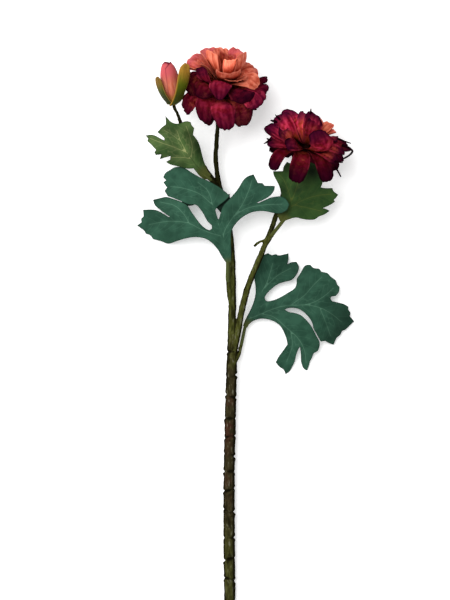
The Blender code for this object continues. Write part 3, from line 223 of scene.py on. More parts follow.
# A leaf's outline runs clockwise from its foot. Its heights are where the blade passes through, and its
# veins are plan points from the foot outwards, the first of which carries the stalk. "stalk" is the radius of
# its stalk and "green" the slot of its cloth.
LEAVES = {
    "middle_leaf": {
        "outline": [
            (226, 262), (222, 256), (218, 249), (212, 242.3), (205, 238), (196, 236.5),
            (187, 237.5), (178, 240), (168.5, 243), (161, 240.5), (153, 238.5), (150, 234.5),
            (145.5, 233), (144, 230), (137, 225), (141.5, 222), (141, 218.5), (143.6, 216),
            (143, 209.5), (152, 209.5), (158, 211), (169, 217.4), (170, 216.2), (160.5, 209.5),
            (155, 204.5), (153, 199.5), (160, 198), (166, 197), (173, 199), (181, 202),
            (187, 205.5), (190.5, 211), (195, 217.5), (200, 224), (205, 228.5), (209.5, 230.5),
            (212.3, 228.5), (212, 225), (207.5, 220.5), (204, 214), (200, 208), (196, 204.3),
            (188.5, 203.6), (181, 200.4), (174, 197.6), (168, 195.5), (164.8, 190.5), (167.3, 187),
            (163.6, 182), (166.4, 179.8), (163.4, 176.8), (165.6, 172.8), (170, 170), (176, 167),
            (184, 168), (192, 173), (200, 177.5), (211, 182.5), (221, 188.5), (229.6, 195.6),
            (224.5, 200.5), (218, 205.5), (215.2, 209.5), (214.8, 213.5), (216.6, 217.8), (219, 219.4),
            (221, 213), (223.4, 206), (230.4, 198.4), (236.5, 191.5), (240.2, 186), (243.5, 180.5),
            (247.5, 176.8), (253.4, 174.6), (255.2, 178.5), (257.6, 183.2), (262.2, 183.4), (264.4, 186),
            (274.6, 186.2), (273.6, 190.5), (270, 195.2), (264, 199), (257, 202.2), (258.2, 203.4),
            (265.5, 200.2), (272, 197.6), (281, 196.8), (286, 199.6), (289, 204.6), (287, 209.6),
            (281, 212.8), (274, 212.6), (266.5, 211), (259, 210.6), (251.5, 212), (245, 215),
            (239, 219.5), (233.5, 226), (231, 232), (230.6, 240), (230.8, 250), (231, 262),
        ],
        "heights": [
            (228.5, 262, 20), (221, 238, 22), (219, 219, 23.5), (210, 195, 27),
            (222, 190, 24.5), (190, 182, 26), (166, 182, 19), (200, 229, 22.5),
            (178, 216, 19), (140, 224, 3.5), (158, 203, 10), (168, 241, 8.5),
            (232, 218, 27), (252, 178, 35), (252, 206, 33), (272, 190, 37.5),
            (286, 205, 38), (262, 210, 33),
        ],
        "veins": [
            [(228.2, 270), (227.6, 260), (224.6, 247), (221.4, 233), (217, 219.5), (212.8, 205),
             (208, 191), (198, 182)],
            [(222, 236), (210, 232.6), (199, 228), (187, 222.4), (168, 221), (149, 224)],
            [(190, 224), (183, 213), (174, 205), (160, 201.5)],
            [(212.8, 205), (200, 194), (184, 188), (170, 186)],
            [(223, 240), (225, 230), (233, 217), (242, 205), (249, 190), (252, 180)],
            [(233, 217), (246, 208.6), (262, 205), (282, 204)],
        ],
        "stalk": 2.1,
        "green": "blue_green",
    },
    "lower_leaf": {
        "outline": [
            (243.4, 326), (245.8, 320), (250, 312), (253.8, 303), (256, 294), (256, 286),
            (255, 279), (256, 270), (259, 261), (263, 256), (268, 253.2), (272, 255.4),
            (276, 254.4), (279.5, 255.6), (288.6, 253.4), (288.4, 259), (287.4, 264.4), (292, 262.4),
            (296.6, 262), (298.7, 266), (298.2, 270.5), (295.6, 275.5), (291.4, 279.6), (284.5, 281.4),
            (277.5, 284), (271.5, 288.5), (266.6, 293.4), (264.4, 297.4), (265.4, 300.6), (268.4, 301.6),
            (275, 300.2), (282, 297), (289, 292.8), (295, 288.8), (297.2, 284), (297.6, 279),
            (301, 273.6), (304.4, 267.4), (307, 265.2), (310.6, 265), (314, 268.2), (319.4, 268.8),
            (321.6, 272), (327.8, 273.4), (331, 277), (335.8, 280.4), (337.4, 284.6), (339.8, 287),
            (339, 292), (336, 295.6), (331.6, 296.2), (330.4, 298.8), (332.4, 301.6), (338, 302.8),
            (344, 304.4), (348.6, 306.8), (348.4, 309.6), (350.8, 313), (350, 316.4), (354.4, 321.4),
            (350, 325.4), (346, 329.2), (342.4, 331), (340.4, 334.8), (336.6, 338.2), (334, 344.6),
            (329.6, 343), (325.6, 340.6), (321.4, 341.4), (317.8, 335), (314.2, 328.4), (313.2, 323.6),
            (310, 318), (305, 312.4), (299, 308.6), (292, 307.4), (287.6, 308), (284.6, 309.6),
            (289, 312.4), (295, 313.4), (300.4, 315.4), (304.6, 318.6), (309, 323.4), (312.6, 328.6),
            (316, 335.4), (319.6, 342), (319.4, 347), (318, 351), (313.8, 353.2), (312, 358),
            (310.2, 361.4), (309, 366), (307.4, 370.6), (304.2, 368.4), (302, 362.4), (301.6, 354),
            (300.4, 346.6), (298, 350), (296, 356), (294.6, 362), (292, 367.6), (289.4, 371.6),
            (286, 374.2), (284.4, 370), (279.6, 366.4), (276.4, 362.6), (279, 357.6), (283.4, 351.6),
            (288.2, 344.6), (287, 338.6), (284, 331), (280.6, 325.6), (275.6, 321.8), (269, 319.2),
            (261.6, 318.4), (254.6, 320), (249.6, 323.4), (247, 327.6),
        ],
        "heights": [
            (245, 325, 8), (256, 302, 7.5), (261, 290, 7), (258, 266, 8),
            (274, 258, 9), (295, 268, 4), (278, 305, 13), (305, 297, 17),
            (308, 268, 10), (336, 288, 7), (325, 310, 15), (352, 320, 3),
            (333, 342, 5), (292, 328, 13), (308, 340, 12), (306, 368, 2),
            (284, 368, 2), (265, 319, 8.5),
        ],
        "veins": [
            [(244.6, 330), (246.4, 323), (251.6, 314), (257, 303), (262, 292), (268, 280),
             (273, 263)],
            [(248, 319.6), (258, 315.4), (269, 310.6), (282, 306.4), (296, 305.4), (306, 305),
             (320, 307.6), (332, 314), (342, 322)],
            [(265, 288), (277, 276), (291, 268)],
            [(290, 305.6), (304, 296), (314, 285), (322, 277)],
            [(304, 305), (316, 301.4), (326, 295), (334, 288)],
            [(262, 314), (274, 317), (286, 327), (298, 338), (304.6, 350), (306.6, 363)],
            [(291, 332), (292.6, 346), (287, 362)],
            [(320, 307.6), (326, 322), (331, 336)],
        ],
        "stalk": 1.7,
        "green": "blue_green",
    },
    "right_leaf": {
        "outline": [
            (281, 222), (277.6, 215), (281, 207), (282, 200), (281.6, 194), (280, 186.6),
            (276.6, 179.6), (274.2, 175), (273.4, 171.4), (278.4, 171.6), (283.2, 171.4), (284.2, 166.6),
            (287, 162.4), (293, 164.4), (299, 162.4), (305, 165), (311, 162.6), (315.6, 165),
            (318.4, 172), (322, 179.6), (321.8, 184), (320.4, 187.4), (325, 188.4), (332.4, 188.4),
            (333.4, 191.2), (338, 194.6), (335.4, 197.8), (333.6, 199.6), (334.8, 201.4), (329.6, 204.6),
            (322.4, 208), (326, 209.2), (329.4, 210.6), (325, 213.6), (319, 216), (314.6, 218.8),
            (308.6, 219.2), (302.6, 218.4), (296, 217), (290, 218.4),
        ],
        "heights": [
            (279.5, 218, 29.6), (289, 213, 31), (284, 200, 31), (276, 174, 35),
            (289, 190, 36), (288, 165, 42), (314, 166, 42.5), (304, 195, 38),
            (318, 186, 36), (336, 194.5, 28), (328, 210, 25), (312, 217, 26),
        ],
        "veins": [
            [(281, 223.6), (285.6, 217.4), (289.8, 209), (292.4, 200), (297, 186), (301, 172)],
            [(291.6, 204), (289, 192), (284, 180), (279, 174)],
            [(291, 207), (303, 200), (317, 195.4), (331, 194)],
            [(295, 205), (308, 207.6), (322, 211)],
        ],
        "stalk": 1.9,
        "green": "mid_green",
    },
    "upper_leaf": {
        "outline": [
            (204.6, 179), (200, 175.4), (196.4, 171.2), (193.6, 167.8), (187.6, 168), (181.6, 166.6),
            (175, 165), (170, 163.6), (166.4, 161.6), (170.4, 159.6), (170.8, 155.4), (164.4, 157),
            (160, 158.8), (161.6, 153.8), (156, 154.4), (154.8, 152), (156.4, 149.6), (152, 144.6),
            (147.6, 140.6), (148.4, 138), (145.8, 135.2), (150.6, 134.8), (155.4, 136), (160.6, 139),
            (164.6, 140.6), (164.8, 137.8), (161.2, 134.4), (157.6, 132), (162, 127.6), (166.2, 124.6),
            (166.2, 120), (165.4, 116), (168, 119.4), (170.6, 122), (174.6, 123.8), (179.4, 124),
            (183, 122.4), (187, 121.6), (190.4, 122.4), (191.4, 125.4), (193.8, 128), (192.6, 134.6),
            (197, 140.4), (199.4, 146), (201.2, 153), (203.2, 160.4), (205.6, 166.4), (207.4, 171),
            (210.4, 174.4), (208.6, 177.8),
        ],
        "heights": [
            (203, 174, 24), (196, 164, 29), (204, 165, 25), (187, 152, 36.5),
            (199, 147, 29.5), (180, 140, 41), (191, 128, 38), (176, 126, 40),
            (166, 119, 39), (160, 131, 34), (148, 137, 26), (158, 152, 30),
            (170, 162, 29), (186, 166.5, 30),
        ],
        "veins": [
            [(207, 177), (202, 172.6), (197, 166.6), (191.6, 159), (186, 151), (181, 141.6),
             (176.6, 130)],
            [(187, 152.6), (174, 147), (160, 142), (150, 138)],
            [(191, 158), (192, 146), (189, 134), (186, 126)],
            [(191, 158.4), (180, 157), (168, 157.6)],
            [(181, 141.6), (171, 134), (164, 130)],
        ],
        "stalk": 1.8,
        "green": "olive_green",
    },
}

# A bloom's seat is the middle of its receptacle and its axis is (right, up the sheet, above the table).
# "core" is the radius of its hub, "claw" the share of its width that a petal keeps at its root, and
# "narrowing" the share that it loses towards its tip. "parting" is the surface between its outer and inner
# petals: how high it starts above the seat, and how fast it climbs away from the hub, with what is added to
# the front and to the left. "swells" lift or lower it round a point: (right, front, height, spread). Each
# petal is (rise of its claw above the seat, the point it bends towards, its tip, width, cup, degrees its
# face is turned to the viewer, and for some a narrowing of its own). A whorl repeats one petal round the
# hidden side: (petals, first and last turn, rise of a claw, bend and tip as distance and rise, width, cup).
# "ruffle" is the height of a petal's broad waves, "ripple" the share that its fine ones have of their full
# height, and "shoulder" how far its tip is rounded.
BLOOMS = {
    "large_bloom": {
        "seat": (222.0, 100.0, 36.0),
        "axis": (0.16, 0.87, 0.46),
        "core": 9.5,
        "parting": (17.0, 0.30, 0.36, 0.0),
        "swells": [(-25.0, 16.0, 15.0, 9.5), (33.0, 17.0, -6.0, 10.0), (-2.0, 24.0, 4.5, 8.0)],
        "claw": 0.36,
        "narrowing": 0.12,
        "outer": [
            (2.0, (220.0, 96.0, 84.0), (227.0, 130.5, 60.0), 25.0, -0.045, 0),
            (12.0, (221.0, 67.0, 80.0), (219.5, 101.5, 80.0), 23.5, -0.045, 0, 0.55),
            (4.0, (203.0, 90.0, 76.0), (204.0, 122.5, 54.0), 24.0, -0.040, 10),
            (5.0, (188.0, 88.0, 56.0), (185.0, 112.0, 34.0), 25.0, -0.020, 20),
            (1.0, (206.0, 98.0, 66.0), (205.0, 123.4, 40.0), 26.0, -0.010, 0),
            (5.0, (252.0, 84.0, 68.0), (261.5, 105.0, 50.0), 32.0, -0.030, 10),
            (3.0, (242.0, 94.0, 76.0), (244.0, 126.0, 48.0), 27.0, -0.035, 10),
            (10.0, (254.0, 73.0, 48.0), (267.5, 78.0, 34.0), 15.0, 0.010, 30),
            (8.0, (255.0, 80.0, 60.0), (267.0, 92.0, 44.0), 20.0, 0.000, 30),
            (9.0, (199.0, 72.0, 64.0), (187.0, 92.0, 48.0), 27.0, -0.010, 20),
            (11.0, (206.0, 76.0, 74.0), (200.0, 99.0, 68.0), 24.0, -0.030, 10),
            (9.0, (240.0, 80.0, 76.0), (247.0, 103.0, 66.0), 28.0, -0.025, 10),
            (8.0, (246.0, 74.0, 38.0), (254.0, 61.5, 30.0), 14.0, 0.010, 30),
            (8.0, (196.0, 80.0, 38.0), (182.0, 78.0, 22.0), 26.0, 0.000, 20),
            (12.0, (203.0, 85.0, 74.0), (201.0, 67.0, 70.0), 21.0, -0.020, 0),
        ],
        "outer_whorls": [
            (5, (206.0, 328.0), 2.0, (34.0, 9.0), (38.0, -13.0), 30.0, -0.005),
            (3, (215.0, 325.0), 9.0, (26.0, 22.0), (42.0, 14.0), 28.0, -0.005),
        ],
        "inner": [
            (19.0, (206.0, 60.0, 58.0), (191.0, 57.0, 38.0), 28.0, -0.020, 20),
            (18.0, (203.0, 69.0, 58.0), (186.5, 69.0, 38.0), 25.0, -0.010, 25),
            (19.0, (215.0, 58.0, 62.0), (209.0, 48.0, 40.0), 27.0, -0.010, 10),
            (20.0, (226.0, 58.0, 60.0), (221.5, 48.0, 44.0), 23.0, -0.020, 0),
            (19.0, (237.0, 58.0, 66.0), (236.0, 48.5, 44.0), 19.0, -0.030, 0),
            (18.0, (245.0, 70.0, 62.0), (255.0, 74.5, 44.0), 20.0, -0.010, 20),
            (18.0, (245.0, 75.0, 72.0), (257.0, 88.0, 60.0), 23.0, -0.020, 20),
            (19.0, (207.0, 71.0, 62.0), (199.0, 62.0, 56.0), 22.0, 0.010, 0),
            (20.0, (234.0, 81.0, 66.0), (239.0, 82.0, 74.0), 24.0, 0.020, 0),
            (21.0, (227.0, 85.0, 68.0), (228.0, 75.0, 80.0), 31.0, 0.075, 0),
            (22.0, (211.0, 72.0, 64.0), (210.0, 52.0, 72.0), 17.0, 0.050, 0),
            (22.0, (246.0, 71.0, 66.0), (243.0, 54.0, 70.0), 23.0, 0.045, 0),
            (24.0, (226.0, 63.0, 58.0), (226.0, 55.0, 67.0), 23.0, 0.045, 0),
            (25.0, (231.0, 76.0, 68.0), (231.0, 61.5, 79.0), 17.0, 0.080, 0),
        ],
        "inner_whorls": [
            (3, (220.0, 320.0), 19.0, (22.0, 30.0), (34.0, 32.0), 30.0, -0.005),
        ],
        "ruffle": 1.5,
        "shoulder": 0.17,
        "ripple": 1.0,
        "seed": 4,
    },
    "small_bloom": {
        "seat": (303.0, 151.0, 36.0),
        "axis": (0.38, 0.92, 0.08),
        "core": 8.0,
        "parting": (11.0, 0.85, 0.45, 0.55),
        "swells": [],
        "claw": 0.32,
        "narrowing": 0.08,
        "outer": [
            (0.0, (277.0, 146.0, 56.0), (273.0, 170.5, 50.0), 14.0, 0.040, 30, 0.28),
            (0.0, (303.5, 149.0, 80.0), (295.0, 182.5, 62.0), 19.5, 0.045, 0, 0.32),
            (0.0, (321.0, 148.0, 70.0), (327.0, 182.0, 56.0), 17.0, 0.040, 20, 0.26),
            (3.0, (282.0, 138.0, 46.0), (267.0, 125.5, 36.0), 16.0, 0.020, 60),
            (4.0, (284.0, 134.0, 66.0), (270.0, 125.0, 50.0), 18.0, -0.010, 60),
            (2.0, (284.0, 142.0, 50.0), (268.0, 141.5, 42.0), 15.0, 0.020, 50),
            (5.0, (285.0, 128.0, 64.0), (279.0, 115.0, 52.0), 19.0, 0.020, -40),
            (6.0, (293.0, 125.0, 70.0), (290.5, 110.0, 48.0), 22.0, 0.020, -30),
            (6.0, (304.5, 129.0, 80.0), (305.0, 112.0, 60.0), 15.5, -0.030, 0),
            (5.0, (310.5, 131.0, 80.0), (313.0, 112.5, 69.0), 16.0, 0.010, 0),
            (5.0, (313.0, 133.0, 82.0), (316.0, 118.0, 68.0), 16.0, 0.010, 0),
            (2.0, (330.0, 158.0, 84.0), (317.0, 131.0, 77.0), 25.0, 0.050, 0),
            (2.0, (334.0, 140.0, 58.0), (350.5, 150.5, 42.0), 11.0, -0.010, 50, 0.70),
            (3.0, (334.0, 139.0, 40.0), (348.0, 146.0, 28.0), 12.0, 0.010, 50, 0.70),
            (1.0, (331.0, 146.0, 62.0), (343.0, 161.5, 46.0), 12.0, -0.010, 40, 0.65),
            (0.0, (327.0, 148.0, 54.0), (336.0, 170.0, 46.0), 13.0, 0.010, 40),
            (2.0, (331.0, 143.0, 70.0), (344.0, 155.0, 58.0), 10.0, 0.020, 50, 0.70),
            (1.0, (326.0, 151.0, 72.0), (337.0, 164.0, 60.0), 11.0, 0.020, 30, 0.60),
            (3.0, (289.0, 140.0, 76.0), (280.0, 130.0, 68.0), 17.0, 0.020, 75),
            (1.0, (297.0, 144.0, 78.0), (285.0, 145.5, 74.0), 13.0, 0.030, 60),
            (5.0, (326.0, 131.0, 54.0), (338.0, 137.5, 46.0), 18.0, 0.010, 40),
        ],
        "outer_whorls": [
            (5, (206.0, 338.0), 0.0, (28.0, 5.0), (31.0, -14.0), 20.0, 0.010),
            (4, (206.0, 334.0), 3.0, (26.0, 16.0), (42.0, 12.0), 20.0, 0.010),
            (3, (208.0, 332.0), 6.0, (15.0, 21.0), (24.0, 30.5), 20.0, 0.020),
        ],
        "inner": [
            (13.0, (318.0, 130.0, 46.0), (322.0, 120.0, 40.0), 16.0, 0.020, 0),
            (13.0, (321.0, 132.0, 38.0), (331.0, 123.0, 32.0), 17.0, 0.020, 20),
            (13.0, (323.0, 136.0, 44.0), (335.0, 131.0, 42.0), 16.0, 0.020, 30),
            (13.0, (313.0, 128.0, 36.0), (313.0, 119.5, 32.0), 14.0, 0.020, 0),
            (15.0, (317.0, 130.0, 38.0), (318.0, 121.0, 36.0), 13.0, 0.070, 0),
        ],
        "inner_whorls": [
            (3, (225.0, 315.0), 13.0, (10.0, 24.0), (17.0, 32.0), 16.0, 0.020),
        ],
        "ruffle": 0.6,
        "shoulder": 0.10,
        "ripple": 0.5,
        "seed": 9,
    },
}

# The dye of each petal, in the order of the tables. An outer petal's runs from 0 for coral over russet,
# crimson and magenta to 1 for purple, and an inner petal's from 0 for pale peach over peach and rose to 1
# for plum.
DYES = {
    "large_bloom": {
        "outer": [0.62, 0.70, 0.50, 0.34, 0.36, 0.66, 0.22, 0.40, 0.60, 0.34, 0.36, 0.95, 0.36, 0.40, 0.80],
        "inner": [0.48, 0.36, 0.50, 0.26, 0.60, 0.30, 0.20, 0.30, 0.25, 0.32, 0.10, 0.30, 0.35, 0.02],
    },
    "small_bloom": {
        "outer": [
            0.55, 0.42, 0.50, 0.70, 0.76, 0.50, 0.45, 0.40, 0.02, 0.42, 0.44, 0.50, 0.34, 0.40, 0.30, 0.18,
            0.14, 0.24, 0.12, 0.92, 0.24,
        ],
        "inner": [0.40, 0.30, 0.45, 0.50, 0.20],
    },
}

# How much lighter or darker each petal is painted, in the same order: partly its dye, partly painted light
# and shade, lighter where a petal faces the light and darker where it lies in shadow.
SHADES = {
    "large_bloom": {
        "outer": [1.15, 1.15, 0.80, 1.00, 0.48, 2.00, 0.90, 0.80, 1.05, 0.52, 0.60, 0.60, 1.00, 0.60, 0.90],
        "inner": [0.92, 0.90, 1.00, 1.05, 1.05, 1.00, 0.95, 0.90, 0.85, 1.00, 1.25, 1.05, 0.65, 2.10],
    },
    "small_bloom": {
        "outer": [
            0.62, 0.65, 0.62, 1.60, 1.80, 1.40, 2.00, 2.20, 2.60, 1.50, 1.30, 1.45, 1.25, 1.25, 1.20, 0.90,
            1.40, 1.20, 1.70, 1.00, 1.60,
        ],
        "inner": [1.10, 1.00, 1.10, 1.00, 1.20],
    },
}

# Where a leaf is darker or lighter: painted shade in its folds and shadowed parts, and lighter patches: (x,
# y, spread, change of its shade).
LEAF_SPOTS = {
    "middle_leaf": [
        (222.0, 192.0, 4.0, -0.15), (200.0, 186.0, 9.0, 0.08), (160.0, 228.0, 14.0, 0.06),
        (216.0, 246.0, 5.0, -0.12), (178.0, 203.0, 4.0, 0.10), (246.0, 190.0, 8.0, 0.06),
    ],
    "lower_leaf": [
        (346.0, 316.0, 9.0, -0.40), (340.0, 334.0, 7.0, -0.35), (330.0, 340.0, 6.0, -0.20),
        (286.0, 262.0, 9.0, -0.12), (246.0, 322.0, 3.0, -0.40), (310.0, 285.0, 12.0, 0.08),
        (306.0, 328.0, 9.0, 0.05),
    ],
    "right_leaf": [
        (312.0, 171.0, 6.5, -0.85), (297.0, 190.0, 3.6, -0.45), (284.0, 190.0, 5.0, -0.30),
        (277.0, 178.0, 3.6, 0.40), (287.0, 168.0, 4.0, -0.50), (305.0, 184.0, 5.0, -0.25),
        (283.0, 213.0, 4.0, -0.30), (312.0, 213.0, 5.0, 0.10), (326.0, 196.0, 6.0, 0.10),
        (296.0, 204.0, 5.0, -0.20),
    ],
    "upper_leaf": [
        (196.0, 143.0, 3.6, -0.60), (200.0, 151.0, 3.0, -0.60), (203.0, 159.0, 2.6, -0.60),
        (206.0, 167.0, 2.4, -0.50), (192.5, 135.0, 3.0, -0.35), (181.0, 165.5, 4.0, -0.55),
        (171.0, 159.5, 3.6, -0.40), (160.0, 156.0, 3.0, -0.45), (166.0, 128.0, 3.0, -0.35),
        (174.0, 131.0, 5.0, -0.25), (168.0, 118.0, 3.0, -0.30), (181.0, 143.0, 3.4, 0.50),
        (186.0, 151.0, 3.4, 0.40), (194.0, 163.0, 3.6, 0.50), (187.0, 126.0, 4.0, 0.20),
        (155.0, 140.0, 5.0, 0.10), (186.0, 134.0, 4.0, -0.25), (175.0, 148.0, 5.0, -0.28),
    ],
}

# Folds of a leaf that show under it, painted dark as shade, each as two edges of sheet points, with their
# height.
LEAF_FOLDS = {
    "middle_leaf": [
        ([(229.6, 193.6), (224.0, 196.4), (218.4, 201.0), (215.6, 206.6)],
         [(230.4, 199.2), (227.0, 205.0), (223.6, 210.4), (221.4, 213.2)], 21.0),
        ([(181.0, 200.0), (186.0, 201.6), (190.0, 202.2), (194.0, 202.6)],
         [(183.0, 203.4), (186.6, 205.2), (190.4, 205.4), (193.6, 204.6)], 20.0),
    ],
}

# Strips that fray from a bloom's outer petals, as (x, y, radius) rows on the sheet from a petal to the tip.
STRIPS = {
    "large_bloom": [],
    "small_bloom": [
        [(282.0, 121.5, 1.3), (278.0, 118.2, 0.9), (275.0, 114.9, 0.4)],
        [(279.0, 123.0, 1.6), (274.0, 121.6, 1.3), (270.4, 120.6, 0.7)],
        [(272.5, 139.5, 1.6), (268.0, 141.6, 1.2), (263.8, 143.8, 0.4)],
        [(272.0, 142.0, 1.6), (268.4, 139.6, 1.1), (266.8, 138.4, 0.6)],
        [(309.4, 117.0, 1.8), (310.2, 113.0, 1.1), (310.6, 109.1, 0.3)],
        [(336.0, 138.0, 1.2), (343.0, 141.0, 0.9), (351.0, 143.6, 0.4)],
        [(342.0, 145.0, 1.4), (348.6, 148.0, 1.2), (352.2, 151.4, 1.1), (349.6, 155.0, 1.0),
         (344.6, 158.2, 0.9), (338.0, 160.6, 0.8)],
        [(332.0, 161.4, 1.2), (337.6, 162.4, 0.9), (342.4, 163.2, 0.4)],
        [(333.0, 165.0, 1.2), (337.2, 170.4, 0.9), (340.8, 177.0, 0.7)],
    ],
}

# How a petal's depth within its bloom is felt out, for the painted shade between petals: the number of rays
# from each point, how far they lean at most, and their reach.
FEELERS = 14
FEELER_LEAN = 0.97
FEELER_REACH = 16.0


def size(name, description, default, unit="LENGTH", **limits):
    return bpy.props.FloatProperty(name=name, description=description, default=default, unit=unit, **limits)


def colour(name, description, default):
    return bpy.props.FloatVectorProperty(
        name=name, description=description, default=default, subtype="COLOR", size=3, min=0.0, max=1.0
    )


class ZinniaSizes(bpy.types.PropertyGroup):
    """Sizes of the spray's finer form."""

    petal_thickness: size("Petal thickness", "Thickness of the cloth petals", 0.00045, min=0.0002, max=0.0008)
    leaf_thickness: size("Leaf thickness", "Thickness of the cloth leaves", 0.0005, min=0.0002, max=0.0008)
    leaf_step: size("Leaf mesh step", "Distance between the points of a leaf's mesh", 0.0018, min=0.001)
    stem_step: size("Stem mesh step", "Edge length of the stem's mesh", 0.0007, min=0.0004)
    bark_depth: size("Bark depth", "How far the moulded bark stands in and out", 0.00042, min=0.0, max=0.0008)
    ruffle: size("Ruffle", "Height of the folds near a petal's edge", 0.0006, min=0.0, max=0.002)
    camera_height: size("Camera height", "Height of the camera above the table", 6.7, min=2.0)
    view_height: size("View height", "Length of spray that the picture's height shows", 0.600, min=0.3)


class ZinniaColours(bpy.types.PropertyGroup):
    """Colours of the spray's cloth and moulded plastic."""

    coral: colour("Coral", "Outer petals with the least dye", (0.340, 0.055, 0.028))
    russet: colour("Russet", "Outer petals dyed brown", (0.130, 0.008, 0.007))
    crimson: colour("Crimson", "Outer petals dyed red", (0.165, 0.004, 0.010))
    magenta: colour("Magenta", "Outer petals dyed pink", (0.205, 0.007, 0.030))
    purple: colour("Purple", "Outer petals with the most dye", (0.050, 0.002, 0.016))
    # Painted highlight on the outer petals' raised folds and side edges.
    painted_highlight: colour("Highlight", "Raised folds of the outer petals", (0.330, 0.024, 0.052))
    petal_tip: colour("Petal tip", "Dark end of the outer petals", (0.022, 0.001, 0.009))
    petal_edge: colour("Petal edge", "Dark edge of the outer petals", (0.012, 0.001, 0.004))
    petal_claw: colour("Petal claw", "Lower part of the outer petals", (0.150, 0.022, 0.004))
    # Near-black root of the outer petals: partly dye and partly painted shade.
    petal_root: colour("Petal root", "Root of the outer petals", (0.014, 0.004, 0.003))
    pale_peach: colour("Pale peach", "Inner petals with the least dye", (0.720, 0.205, 0.125))
    peach: colour("Peach", "Inner petals", (0.600, 0.120, 0.066))
    plum: colour("Plum", "Inner petals with the most dye", (0.110, 0.004, 0.012))
    rose: colour("Rose", "Tips of the inner petals", (0.480, 0.078, 0.088))
    ember: colour("Ember", "Root of the inner petals", (0.260, 0.020, 0.005))
    salmon: colour("Salmon", "The bud's petals", (0.560, 0.170, 0.105))
    bud_tip: colour("Bud tip", "Dark edge at the bud's tip", (0.100, 0.005, 0.020))
    teal: colour("Teal", "The two blue-green leaves", (0.022, 0.080, 0.048))
    teal_vein: colour("Teal vein", "Veins of the blue-green leaves", (0.085, 0.200, 0.130))
    green: colour("Green", "The leaf under the small bloom", (0.017, 0.046, 0.011))
    green_vein: colour("Green vein", "Veins of the green leaf", (0.055, 0.075, 0.016))
    olive: colour("Olive", "The leaf by the bud's stalk", (0.035, 0.085, 0.020))
    olive_vein: colour("Olive vein", "Veins of the olive leaf", (0.230, 0.250, 0.100))
    sepal: colour("Sepal", "Outside of the bud's sepals", (0.120, 0.155, 0.008))
    sepal_rim: colour("Sepal rim", "Edge of the bud's sepals", (0.430, 0.220, 0.030))
    sepal_inside: colour("Sepal inside", "Inside of the bud's sepals", (0.140, 0.060, 0.010))
    bark: colour("Bark", "The old stem", (0.036, 0.029, 0.012))
    # Also painted as shade along the sides of the branches.
    bark_dark: colour("Bark shade", "Joints and scars of the stem", (0.006, 0.005, 0.002))
    bark_red: colour("Worn bark", "Reddish patches of the old stem", (0.050, 0.021, 0.013))
    bark_pale: colour("Bark specks", "Pale specks of the stem", (0.130, 0.125, 0.085))
    bark_green: colour("Young bark", "The side branches", (0.060, 0.066, 0.014))


def sizes():
    return bpy.context.scene.zinnia_sizes


def colours():
    return bpy.context.scene.zinnia_colours


def spot(x, y, height):
    """The model point, in millimetres, over a point of the layout sheet."""
    return np.array([x - SHEET_MIDDLE[0], SHEET_MIDDLE[1] - y, height])


def unit(vector):
    return np.asarray(vector, float) / np.linalg.norm(vector)


def soft_max(a, b, softness):
    return (a + b + np.sqrt((a - b) ** 2 + 4 * softness**2)) / 2


def soft_min(a, b, softness):
    return -soft_max(-a, -b, softness)


def curve_piece(corners, step):
    """Points about a step apart from the second of four corners up to the third, on a curve through them."""
    a, b, c, d = corners
    pieces = max(1, round(np.linalg.norm((c - b)[:3]) / step))
    found = []
    for k in range(pieces):
        t = k / pieces
        turn = (2 * a - 5 * b + 4 * c - d) * t**2 + (3 * b - a - 3 * c + d) * t**3
        found.append(0.5 * (2 * b + (c - a) * t + turn))
    return found


def smooth_line(points, step):
    """Points about a step apart on a smooth curve through the given points, of any width."""
    given = np.asarray(points, float)
    padded = np.vstack([2 * given[0] - given[1], given, 2 * given[-1] - given[-2]])
    found = []
    for i in range(1, len(padded) - 2):
        found += curve_piece(padded[i - 1 : i + 3], step)
    return np.array([*found, given[-1]])


def deselect():
    for thing in bpy.context.selected_objects:
        thing.select_set(False)


def choose(thing):
    deselect()
    thing.select_set(True)
    bpy.context.view_layer.objects.active = thing


def mesh_grid(name, points, closed=False):
    """A grid primitive shaped to rows of points, in millimetres. A closed one meets itself along its sides,
    and its first and last rows may each be a single point."""
    rows, columns = points.shape[:2]
    deselect()
    bpy.ops.mesh.primitive_grid_add(x_subdivisions=columns - 1, y_subdivisions=rows - 1, size=1.0)
    sheet = bpy.context.object
    sheet.name = name
    sheet.data.name = name
    sheet.data.vertices.foreach_set("co", (points.reshape(-1, 3) * MM).astype(np.float32).ravel())
    sheet.data.update()
    if closed:
        choose(sheet)
        bpy.ops.object.mode_set(mode="EDIT")
        bpy.ops.mesh.select_all(action="SELECT")
        bpy.ops.mesh.remove_doubles(threshold=0.000001)
        bpy.ops.mesh.normals_make_consistent(inside=False)
        bpy.ops.object.mode_set(mode="OBJECT")
    return sheet


def read_points(mesh, kind="co"):
    """The places of a mesh's points, or their normals, as rows."""
    rows = np.empty(len(mesh.vertices) * 3, np.float32)
    mesh.vertices.foreach_get(kind, rows)
    return rows.reshape(-1, 3)


def set_field(mesh, name, values):
    """Stores one number for each point of a mesh."""
    stored = mesh.attributes.get(name) or mesh.attributes.new(name, "FLOAT", "POINT")
    stored.data.foreach_set("value", np.asarray(values, np.float32).ravel())


def fill_fields(mesh, **values):
    for name, value in values.items():
        set_field(mesh, name, np.full(len(mesh.vertices), float(value)))


def set_map(mesh, places):
    """Gives the mesh a UV map from one (across, along) place for each point, in centimetres."""
    layer = mesh.uv_layers.get("UVMap") or mesh.uv_layers.new(name="UVMap")
    corners = np.empty(len(mesh.loops), np.int32)
    mesh.loops.foreach_get("vertex_index", corners)
    layer.data.foreach_set("uv", np.asarray(places, np.float32)[corners].ravel())


def finish_modifier(thing, kind, **settings):
    choose(thing)
    modifier = thing.modifiers.new(kind.title(), kind)
    for key, value in settings.items():
        setattr(modifier, key, value)
    bpy.ops.object.modifier_apply(modifier=modifier.name)


def thicken(thing, thickness, inside_slot=0):
    finish_modifier(
        thing, "SOLIDIFY", thickness=thickness, offset=0.0, use_rim=True, material_offset=inside_slot
    )


